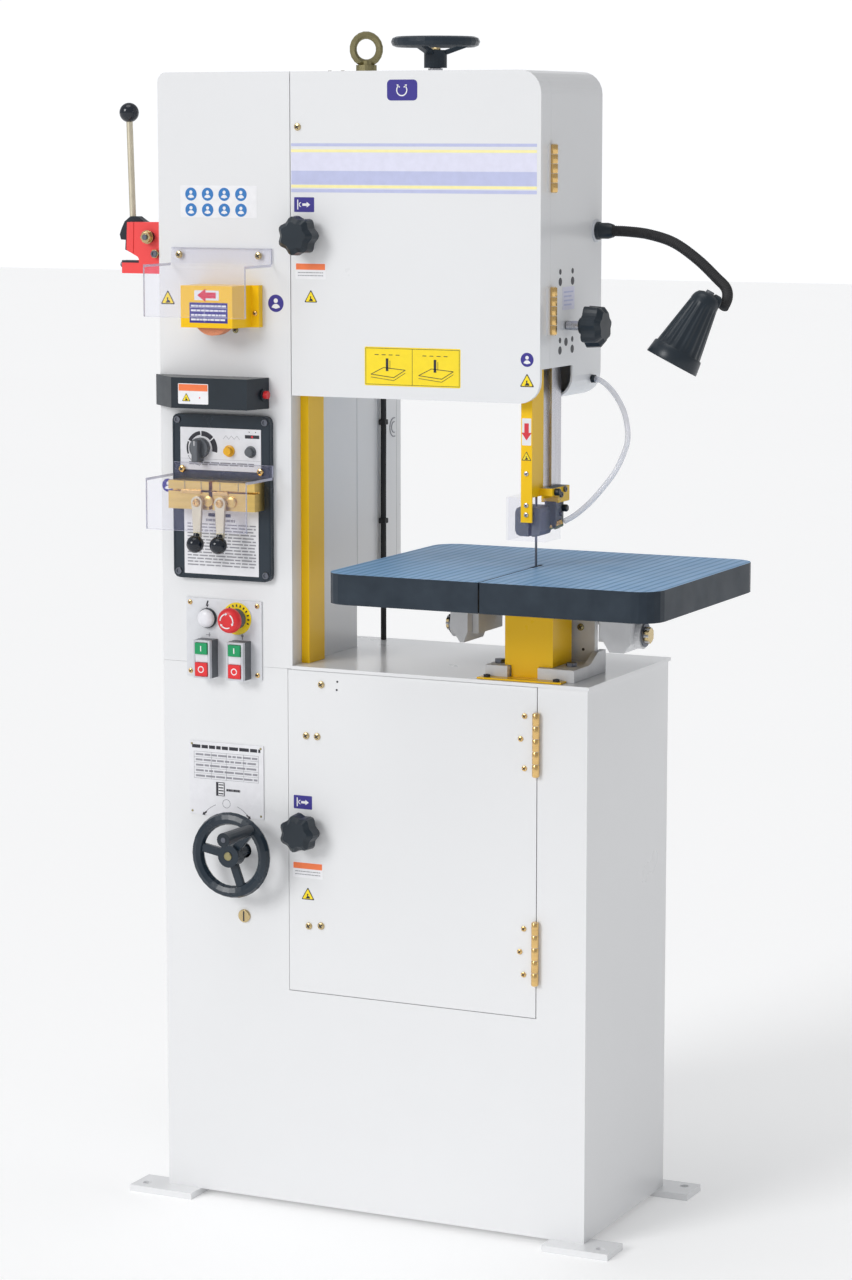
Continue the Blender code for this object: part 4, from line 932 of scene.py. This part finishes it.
def controls():
    plate = -0.0025
    corners = ((0.0475, 0.901), (0.159, 0.901), (0.0475, 0.799), (0.159, 0.799))
    screws("control_screw", corners, plate, 0.0036, look=BRASS)
    bolt = (
        (0.076, 0.9045), (0.0735, 0.8965), (0.0758, 0.8972), (0.0744, 0.8925), (0.079, 0.8992),
        (0.0765, 0.8984),
        (0.0785, 0.9045),
    )
    decal("power_mark", bolt, plate, BLACK_PRINT_AND_SHADE)
    bezel = [(0.0137, 0), (0.0148, 0), (0.0148, 0.0034), (0.0142, 0.005), (0.0136, 0.005)]
    turned("power_lamp_bezel", bezel, 48, at(0.077, plate, 0.879), FRONT, BLACK)
    lens = [(0, 0.0078), (0.0136, 0.0078), (0.0132, 0.0104), (0.0112, 0.0128), (0.0062, 0.0144), (0, 0.0148)]
    turned("power_lamp_lens", lens, 48, at(0.077, 0.0, 0.879), FRONT, DIFFUSER)
    stop_button()
    for name, x0, x1 in (("saw", 0.066, 0.092), ("grinder", 0.121, 0.147)):
        switch(name, x0, x1)
    mark = oblong(0.0735, 0.081, 0.8535, 0.8545), oblong(0.0785, 0.0795, 0.8515, 0.8575)
    decals("saw_mark", mark, plate, GREY_INK)
    mark = disc(0.134, 0.856, 0.0022, 16), oblong(0.1332, 0.1348, 0.85, 0.856)
    decals("grinder_mark", mark, plate, GREY_INK)


def stop_button():
    x, z, body = 0.126, 0.881, "emergency_stop"
    centre = at(x, 0.0, z)
    turned("stop_disc", collar(0.0137, 0.0238, 0.004, 0.0046), 64, centre, FRONT, YELLOW_FILM)
    marks = []
    for i in range(13):
        angle = 200 - 220 * i / 12
        marks.append(band(x, z, 0.0175, 0.0212, angle - 3.2, angle + 3.2, 3))
    decals("stop_disc_marks", marks, -0.0046, BLACK_PRINT_AND_SHADE)
    ring = [
        (0.0085, 0.0046), (0.015, 0.0046), (0.015, 0.01), (0.014, 0.012), (0.0138, 0.0172), (0.009, 0.0172),
    ]
    turned("stop_collar", ring, 48, centre, FRONT, GREY_PLASTIC)
    profile = [
        (0, 0.0227), (0.017, 0.0227), (0.0183, 0.0236), (0.0187, 0.0255), (0.0184, 0.0282),
        (0.0172, 0.0315),
    ]
    profile += [(0.015, 0.034), (0.011, 0.0354), (0.006, 0.036), (0, 0.0361)]
    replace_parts(turned("stop_mushroom", profile, 64, centre, FRONT, RED_BUTTON, body), body)
    turned("stop_stem", collar(0, 0.008, 0.012, 0.023), 32, centre, FRONT, GREY_PLASTIC, body)
    arrows = []
    for start in (100, 220, 340):
        tip = radians(start)
        head = arrow(x + 0.0104 * cos(tip), z + 0.0104 * sin(tip), 0.0062, start - 90)
        sweep_line = band(x, z, 0.0096, 0.0112, start, start + 78, 10)
        arrows += [front(sweep_line, -0.035, 0.0014), front(head, -0.0352, 0.0012)]
    piece("stop_arrows", merged(*arrows), PAPER, body)


def switch(name, x0, x1):
    """A silver-bezelled pair of push buttons on a dark back body, with I and O marks."""
    z0, z1, face = 0.7935, 0.848, -0.026
    edge, lip = 0.002, 0.0008
    rim = (
        (x0 - lip, x0 + edge, z0 - lip, z1 + lip), (x1 - edge, x1 + lip, z0 - lip, z1 + lip),
        (x0 + edge, x1 - edge, z1 - edge, z1 + lip), (x0 + edge, x1 - edge, z0 - lip, z0 + edge),
    )
    bars = [block(a, b, face - 0.0012, face + 0.006, c, d) for a, b, c, d in rim]
    piece(name + "_switch_bezel", merged(*bars), SILVER_PLASTIC, "frame", 0.0005)
    skirt = (
        (x0 - 0.0009, x0 - 0.0001, z0 - 0.0006, z1 + 0.0006),
        (x1 + 0.0001, x1 + 0.0012, z0 - 0.0006, z1 + 0.0006),
        (x0 - 0.0009, x1 + 0.0012, z1 + 0.0001, z1 + 0.001),
    )
    walls = [block(a, b, face + 0.0062, -0.0027, c, d) for a, b, c, d in skirt]
    piece(name + "_switch_body", merged(*walls), GREY_PLASTIC, "frame")
    middle = block(x0 + 0.003, x1 - 0.003, face - 0.0006, face + 0.004, 0.8168, 0.8282)
    piece(name + "_switch_middle", middle, DIFFUSER, "frame")
    cx = (x0 + x1) / 2
    bar = oblong(cx - 0.0008, cx + 0.0008, 0.833, 0.841)
    decal(name + "_start_mark", bar, -0.029, PAPER, name + "_start_button")
    ring = band(cx, 0.8062, 0.0036, 0.005, 0, 356, 28)
    decal(name + "_stop_mark", ring, -0.029, PAPER, name + "_stop_button")


def speed_controls():
    face, film = -0.0018, -0.0024
    cx = 0.105
    rules = [oblong(0.051, 0.159, z, z + 0.0004) for z in (0.6785, 0.6705, 0.6625, 0.6545, 0.6465, 0.6385)]
    rules += [oblong(x, x + 0.0004, 0.6385, 0.6789) for x in (0.051, 0.08, 0.105, 0.134, 0.1586)]
    rules += [band(cx, 0.556, 0.0475, 0.0483, start, start + 30, 12) for start in (112, 38)]
    rules.append(band(cx, 0.6035, 0.006, 0.0067, 0, 356, 20))
    decals("speed_plate_rules", rules, face, GREY_INK)
    arrows = (arrow(cx - 0.037, 0.5865, 0.009, 218), arrow(cx + 0.037, 0.5865, 0.009, -38))
    decals("speed_plate_arrows", arrows, face, BLACK_PRINT_AND_SHADE)
    text_bars("speed_plate_words", 0.048, 0.162, 0.682, 0.691, 1, face, BLACK_PRINT_AND_SHADE, 0.55, 11)
    text_bars("speed_plate_figures", 0.054, 0.157, 0.6385, 0.6785, 5, face, fill=0.36, seed=13)
    decal("speed_window_frame", oblong(0.088, 0.102, 0.6145, 0.635), face, BLACK_PRINT_AND_SHADE, thick=0.0006)
    decal("speed_window_figures", oblong(0.092, 0.101, 0.6155, 0.634), film, PAPER)
    text_bars("speed_window_marks", 0.0925, 0.1005, 0.616, 0.6335, 4, film - DECAL, BLACK_PRINT_AND_SHADE, 0.4, 17)
    text_bars("speed_window_words", 0.105, 0.128, 0.6215, 0.6265, 1, face, BLACK_PRINT_AND_SHADE, 0.7, 19)
    rivet = [(0, 0), (0.0018, 0), (0.0014, 0.0008), (0, 0.001)]
    for number, (x, z) in enumerate(((0.0475, 0.69), (0.1625, 0.69), (0.0475, 0.589), (0.1625, 0.589))):
        turned(f"speed_rivet_{number}", rivet, 16, at(x, face, z), FRONT, OLIVE_ZINC)
    # The index hole is a black disc: painted shade in the hole.
    decal("index_hole", disc(0.1165, 0.5265, 0.0018, 16), 0.0, BLACK_PRINT_AND_SHADE)
    cap = [(0, 0), (0.0062, 0), (0.0062, 0.0012), (0.005, 0.0022), (0, 0.0024)]
    turned("speed_hub_cap", cap, 32, at(0.133, -0.05, 0.536), FRONT, OLIVE_ZINC, "speed_wheel")
    low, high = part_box("crank_grip")
    centre = Vector(((low.x + high.x) / 2, low.y, (low.z + high.z) / 2))
    end = [(0, 0), (0.004, 0), (0.0036, 0.001), (0, 0.0014)]
    turned("grip_screw", end, 20, centre, FRONT, DARK_STEEL, "crank_grip")
    plug = [(0, 0), (0.0098, 0), (0.0098, 0.002), (0.0088, 0.0032), (0, 0.0034)]
    turned("cabinet_plug", plug, 32, at(0.133, 0.0, 0.437), FRONT, ZINC)
    # The slot in the plug's head is a black bar: painted shade in the slot.
    decal("cabinet_plug_slot", oblong(0.132, 0.1342, 0.4295, 0.4445), -0.0032, BLACK_PRINT_AND_SHADE, thick=0.0003)


# Cabinet


def lower_door():
    body = "lower_door"
    key_label("lower_key_label", 0.216, 0.246, 0.606, 0.626, body)
    notice("lower_notice", 0.214, 0.263, 0.5035, 0.527, body)
    hazard_triangle("lower_hazard", 0.2385, 0.4775, 0.0215, 0.0, body)
    spots = ((0.262, 0.792), (0.237, 0.715), (0.255, 0.715), (0.24, 0.432))
    screws("door_screw", spots, 0.0, 0.0052, body)
    screw("door_screw_4", at(0.26, 0.0, 0.434), FRONT, 0.0054, body)
    # The rivet holes are black discs: painted shade in the holes.
    holes = (disc(0.288, 0.798, 0.0016, 16), disc(0.287, 0.786, 0.0016, 16))
    decals("door_rivet_holes", holes, 0.0, BLACK_PRINT_AND_SHADE, body)
    spots = ((0.584, 0.769), (0.578, 0.736), (0.584, 0.694), (0.584, 0.462), (0.578, 0.428), (0.584, 0.395))
    screws("hinge_screw", spots, 0.0, 0.004, body, BRASS)
    for number, (z0, z1) in enumerate(((0.684, 0.775), (0.382, 0.474))):
        hinge_barrel(f"lower_hinge_{number}", 0.6035, -0.005, z0, z1, body)


# Guide, throat and hose


def guides():
    body, face = "guide", 0.022
    decal("descent_label", oblong(0.5685, 0.5825, 1.15, 1.188, 0.001), face, PAPER, body)
    decal("descent_arrow", arrow(0.5755, 1.169, 0.024, 270), face - DECAL, RED_FILM, body)
    hazard_triangle("guide_hazard", 0.5755, 1.133, 0.015, face, body)
    screws("guard_screw", ((0.5755, 1.11), (0.5755, 1.0655), (0.5755, 1.052)), face, 0.0036, body, STEEL)
    socket = [
        (0, 0), (0.0042, 0), (0.0042, 0.0034), (0.0036, 0.004), (0.002, 0.004), (0.0018, 0.002), (0, 0.002),
    ]
    plain = [(0, 0), (0.0036, 0), (0.0036, 0.003), (0.003, 0.0036), (0, 0.0036)]
    thumb = [(0, 0), (0.0052, 0), (0.0052, 0.006), (0.0042, 0.0074), (0, 0.0074)]
    for name, profile, spots in (
        ("clamp_screw", socket, ((0.603, 0.078, 1.077), (0.603, 0.092, 1.0835))),
        ("block_screw", plain, ((0.6, 0.086, 1.049), (0.6, 0.083, 1.035))),
    ):
        for number, spot in enumerate(spots):
            turned(f"{name}_{number}", profile, 24, at(*spot), RIGHT, DARK_STEEL, body)
    piece("clamp_cover_0", block(0.5768, 0.6036, 0.0713, 0.1115, 1.0655, 1.0876), YELLOW, body, 0.0006)
    piece("clamp_cover_1", block(0.5836, 0.6036, 0.0492, 0.072, 1.0768, 1.0876), YELLOW, body, 0.0006)
    for number, spot in enumerate(((0.6036, 0.06, 1.0822), (0.6, 0.096, 1.056))):
        turned(f"thumb_screw_{number}", thumb, 28, at(*spot), RIGHT, BLACK, body)
    nozzle = [
        (0, 0), (0.0062, 0), (0.0062, 0.007), (0.0044, 0.008), (0.0044, 0.016), (0.0028, 0.018),
        (0.0022, 0.024),
    ]
    way = (-0.72, -0.62, -0.28)
    turned("air_nozzle", nozzle + [(0, 0.024)], 28, at(0.5995, 0.08, 1.0345), way, BRASS, body)
    hexagon("nozzle_nut", at(0.6035, 0.0835, 1.0365), way, 0.0058, 0.005, body, BRASS, 0.0004)


def air_hose():
    """The clear hose from the head's side to the nozzle."""
    points = (
        (0.6056, 0.188, 1.234), (0.622, 0.184, 1.231), (0.643, 0.175, 1.217), (0.662, 0.164, 1.196),
        (0.673, 0.154, 1.175), (0.678, 0.146, 1.152), (0.675, 0.138, 1.132), (0.666, 0.13, 1.108),
        (0.651, 0.122, 1.085), (0.635, 0.112, 1.064), (0.619, 0.098, 1.047), (0.6065, 0.0855, 1.038),
    )
    route = resampled(smooth_route([at(*point) for point in points]), 0.002)
    hose = piece("clear_hose", sweep(route, 0.004, 24), HOSE, None)
    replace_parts(hose, "air_hose")
    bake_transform(hose)


def throat():
    x = 0.215
    seams = [side(oblong(0.3478, 0.3486, 0.915, 1.47), x), side(oblong(0.2818, 0.283, 0.915, 1.47), x)]
    piece("box_seams", merged(*seams), CASE_GREY, "frame")
    rings = ((0.0135, 0.015), (0.0075, 0.0088))
    pull = [side(band(0.339, 1.1385, inner, outer, 75, 285, 18), x, 0.0008) for inner, outer in rings]
    piece("box_pull", merged(*pull), GREY_INK, "frame")
    for number, z in enumerate((1.15, 1.000, 0.88)):
        clip = block(0.2151, 0.2262, 0.285, 0.297, z - 0.004, z + 0.004)
        piece(f"cable_clip_{number}", clip, RUBBER, "frame", 0.0012)


def lower_guard():
    head = [
        (0, 0), (0.005, 0), (0.005, 0.003), (0.0044, 0.0036), (0.0024, 0.0036), (0.0022, 0.0018),
        (0, 0.0018),
    ]
    for number, x in enumerate((0.52, 0.627)):
        turned(f"guard_cap_screw_{number}", head, 24, at(x, 0.012, 0.8195), UP, BLACK_PRINT_AND_SHADE)
    screw("trunnion_screw", at(0.622, 0.112, 0.884), FRONT, 0.0052, look=OLIVE_ZINC)
    # The trunnion hole is a black disc: painted shade in the hole.
    decal("trunnion_hole", disc(0.626, 0.852, 0.0022, 20), 0.112, BLACK_PRINT_AND_SHADE)
    for number, (x, y) in enumerate(((0.524, 0.05), (0.524, 0.122), (0.63, 0.06), (0.63, 0.126))):
        hexagon(f"base_bolt_{number}", at(x, y, 0.835), UP, 0.0085, 0.0055, "frame", DARK_STEEL)


def table_hardware():
    y, z = 0.071, 0.885
    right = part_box("right_table_bracket")[1].x - CORNER.x
    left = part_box("left_table_bracket")[0].x - CORNER.x
    for name, x, way in (("right", right, 1), ("left", left, -1)):
        outward = (way, 0, 0)
        washer = collar(0.0118, 0.0168, 0, 0.0018)
        turned(name + "_tilt_washer", washer, 36, at(x - way * 0.0088, y, z), outward, DARK_STEEL, "table")
        hexagon(name + "_tilt_bolt", at(x - way * 0.0068, y, z), outward, 0.012, 0.007, "table", ZINC, 0.0008)


# Work lamp

LAMP_JOINT = (0.8285, 0.1225, 1.343)


def lamp():
    body = "lamp_arm"
    points = (
        (0.627, 0.199, 1.445), (0.655, 0.195, 1.4445), (0.691, 0.189, 1.441), (0.732, 0.181, 1.43),
        (0.772, 0.171, 1.407), (0.804, 0.16, 1.383), (0.8225, 0.149, 1.3695), (0.83, 0.135, 1.356),
        LAMP_JOINT,
    )
    route = resampled(smooth_route([at(*point) for point in points]), 0.00055)

    def ribbed(distance):
        return 0.0073 + 0.00045 * cos(2 * pi * distance / 0.0033)

    neck = piece("gooseneck", sweep(route, ribbed, 20), RUBBER, body, smooth=80)
    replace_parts(neck, "lamp_arm")
    foot = at(SIDE_X + 0.0003, 0.199, 1.445)
    gland = [(0, 0), (0.0128, 0), (0.0128, 0.006), (0.0115, 0.0072), (0.0115, 0.019), (0.0105, 0.023)]
    turned("lamp_gland", gland + [(0.0092, 0.027), (0, 0.027)], 40, foot, RIGHT, BLACK, body)
    flange = [(0, -0.0001), (0.0165, -0.0001), (0.0165, 0.0014), (0.015, 0.002), (0, 0.002)]
    turned("lamp_flange", flange, 40, foot, RIGHT, SILVER_PLASTIC, body)
    lamp_head()


def lamp_head():
    """A ribbed shade with a smooth skirt, a rounded crown and a side socket for the arm."""
    body = "lamp_head"
    top, mouth = at(0.815, 0.106, 1.364), at(0.769, 0.08, 1.267)
    way = (mouth - top).normalized()
    long = (mouth - top).length
    crown = [(0, 0.0005), (0.009, 0.001), (0.015, 0.0035), (0.0185, 0.008), (0.0202, 0.013), (0.0208, 0.017)]
    turned("shade_crown", crown, 48, top, way, BLACK, body)
    shade = piece("shade_ribbed", placed(ribbed_cone(long), top, way), BLACK, body, smooth=60)
    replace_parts(shade, "lamp_head")
    skirt = [
        (0.031, long - 0.0205), (0.035, long - 0.0205), (0.0362, long - 0.019), (0.0388, long - 0.0008),
        (0.0384, long), (0.0352, long), (0.0345, long - 0.001), (0.0315, long - 0.02),
    ]
    turned("shade_skirt", skirt, 64, top, way, BLACK, body)
    inner = [(0.0, long - 0.052), (0.013, long - 0.052), (0.023, long - 0.045), (0.0345, long - 0.0012)]
    piece("shade_inside", placed(open_ends(lathe(inner, 48)), top, way), SHADE_WHITE, body)
    bulb = [
        (0, long - 0.052), (0.0105, long - 0.05), (0.015, long - 0.036), (0.018, long - 0.022),
        (0.016, long - 0.014), (0.0095, long - 0.0095), (0, long - 0.008),
    ]
    turned("lamp_bulb", bulb, 32, top, way, DIFFUSER, body)
    joint = at(*LAMP_JOINT)
    foot = top + way * (joint - top).dot(way)
    reach = (joint - foot).length - 0.0102
    socket = [(0, 0.01), (0.0118, 0.01), (0.0118, reach - 0.002), (0.0102, reach), (0, reach)]
    turned("shade_socket", socket, 36, foot, joint - foot, BLACK, body)
    button = [(0, -0.004), (0.0052, -0.004), (0.006, -0.003), (0.006, 0.0012), (0, 0.0012)]
    turned("shade_switch", button, 28, top + way * 0.001, way, GREY_PLASTIC, body)


def ribbed_cone(long):
    """The fluted part of the shade, as an open skin."""
    flutes, steps = 18, 108
    around = [2 * pi * (i / steps) for i in range(steps)]
    bm = bmesh.new()
    rings = []
    for share in (0.0, 0.04, 0.12, 0.85, 0.95, 1.0):
        height = 0.0165 + share * (long - 0.0165 - 0.02)
        radius = 0.0204 + share * 0.0132
        deep = 0.0016 * min(1.0, share / 0.12, (1.0 - share) / 0.05 if share > 0.9 else 1.0)
        reach = [radius - deep * (0.5 - 0.5 * cos(flutes * angle)) for angle in around]
        rings.append([bm.verts.new((r * cos(a), r * sin(a), height)) for a, r in zip(around, reach)])
    for below, above in zip(rings, rings[1:]):
        skin(bm, below, above)
    return bm


def open_ends(bm):
    """Drops the caps of a lathed shape, so that it is a skin."""
    caps = [face for face in bm.faces if len(face.verts) > 4]
    bmesh.ops.delete(bm, geom=caps, context="FACES_ONLY")
    return bm


# Shear


def shear():
    lever = "shear_lever"
    x, middle, z = -0.0175, 0.025, 1.4334
    turned("shear_washer", collar(0, 0.0098, 0, 0.001), 36, at(x, -0.0034, z), FRONT, ZINC, lever)
    hexagon("shear_pivot_nut", at(x, -0.0044, z), FRONT, 0.0088, 0.0056, lever)
    end = [(0, 0), (0.0042, 0), (0.0042, 0.002), (0.0034, 0.0026), (0, 0.0026)]
    turned("shear_pivot_end", end, 28, at(x, -0.01, z), FRONT, DARK_STEEL, lever)
    hexagon("shear_plate_bolt", at(-0.0066, 0.004, 1.4092), FRONT, 0.0068, 0.007, "frame")
    socket_screw("shear_plate_bolt_end", at(-0.0066, -0.003, 1.4092))
    blade = side([(0.0035, 1.3955), (0.0178, 1.3955), (0.0178, 1.399), (0.0035, 1.399)], -0.065, 0.0285)
    piece("shear_lower_blade", blade, BLACK_PRINT_AND_SHADE, "frame", 0.0005)
    stop = [(0, 0), (0.004, 0), (0.004, 0.004), (0.003, 0.005), (0, 0.005)]
    turned("shear_blade_screw", stop, 24, at(-0.065, 0.011, 1.3925), (-1, 0, 0), DARK_STEEL)
    edge = [(-0.0552, 1.4542), (-0.0568, 1.414), (-0.0452, 1.409), (-0.044, 1.4542)]
    decal("shear_edge_plate", edge, 0.004, RED_PAINT, thick=0.0012, bevel=0.0006)
    route = resampled([at(-0.0575, middle, 1.46), at(-0.0615, middle, 1.603)], 0.02)
    piece("shear_rod", sweep(route, 0.0047, 28), CREAM_ZINC, lever)
    ball("shear_ball", 0.0143, 18, 36, at(-0.0618, middle, 1.6128), BALL_BLACK, lever)


# Camera, light and floor


def floor():
    bpy.ops.mesh.primitive_plane_add(size=60)
    plane = bpy.context.object
    plane.name = "floor"
    ground = Look("floor_paint", (0.92, 0.92, 0.92), 0.9)
    ground.mottle(0.6, 0.004)
    ground.set("Emission Color", (1.0, 1.0, 1.0, 1.0))
    ground.set("Emission Strength", 0.16)
    plane.data.materials.append(ground.material)


def sky(scene):
    """Soft white light all round, brighter in the part that the camera looks towards."""
    scene.world = bpy.data.worlds.new("studio")
    scene.world.use_nodes = True
    tree = scene.world.node_tree
    way = add_node(tree, "TexCoord", {})
    values = {0: way.outputs["Generated"], 1: (-0.423, 0.894, -0.145)}
    facing = add_node(tree, "VectorMath", values, operation="DOT_PRODUCT").outputs["Value"]
    values = {"Value": facing, "From Min": 0.86, "From Max": 0.95, "To Min": 0.46, "To Max": 1.05}
    strength = add_node(tree, "MapRange", values, interpolation_type="SMOOTHSTEP")
    background = tree.nodes["Background"]
    background.inputs["Color"].default_value = (0.97, 0.98, 1.0, 1.0)
    tree.links.new(strength.outputs["Result"], background.inputs["Strength"])


def studio():
    scene = bpy.context.scene
    scene.view_settings.view_transform = "Standard"
    floor()
    sky(scene)
    suns = (("key", (0.4, 0.82, -0.44), 1.25, 24), ("overhead", (0.05, 0.15, -1.0), 0.66, 40))
    for name, way, strength, angle in suns:
        data = bpy.data.lights.new(name, "SUN")
        data.energy = strength
        data.angle = radians(angle)
        sun = bpy.data.objects.new(name, data)
        sun.rotation_euler = Vector(way).to_track_quat("-Z", "Y").to_euler()
        scene.collection.objects.link(sun)
    data = bpy.data.cameras.new("camera")
    data.lens = 98.1
    data.sensor_width = 36.0
    camera = bpy.data.objects.new("camera", data)
    scene.collection.objects.link(camera)
    camera.location = at(2.53596, -4.44816, 1.58986)
    camera.rotation_euler = (radians(90 - 8.344), 0.0, radians(25.336))
    scene.camera = camera


PARTS = (
    finish_nodes, upper_door, head_side, post_clamp, tension_wheel, grinder, hood, welder, controls,
    speed_controls, lower_door, guides, air_hose, throat, lower_guard, table_hardware, lamp, shear,
)

studio()
for make in PARTS:
    make()
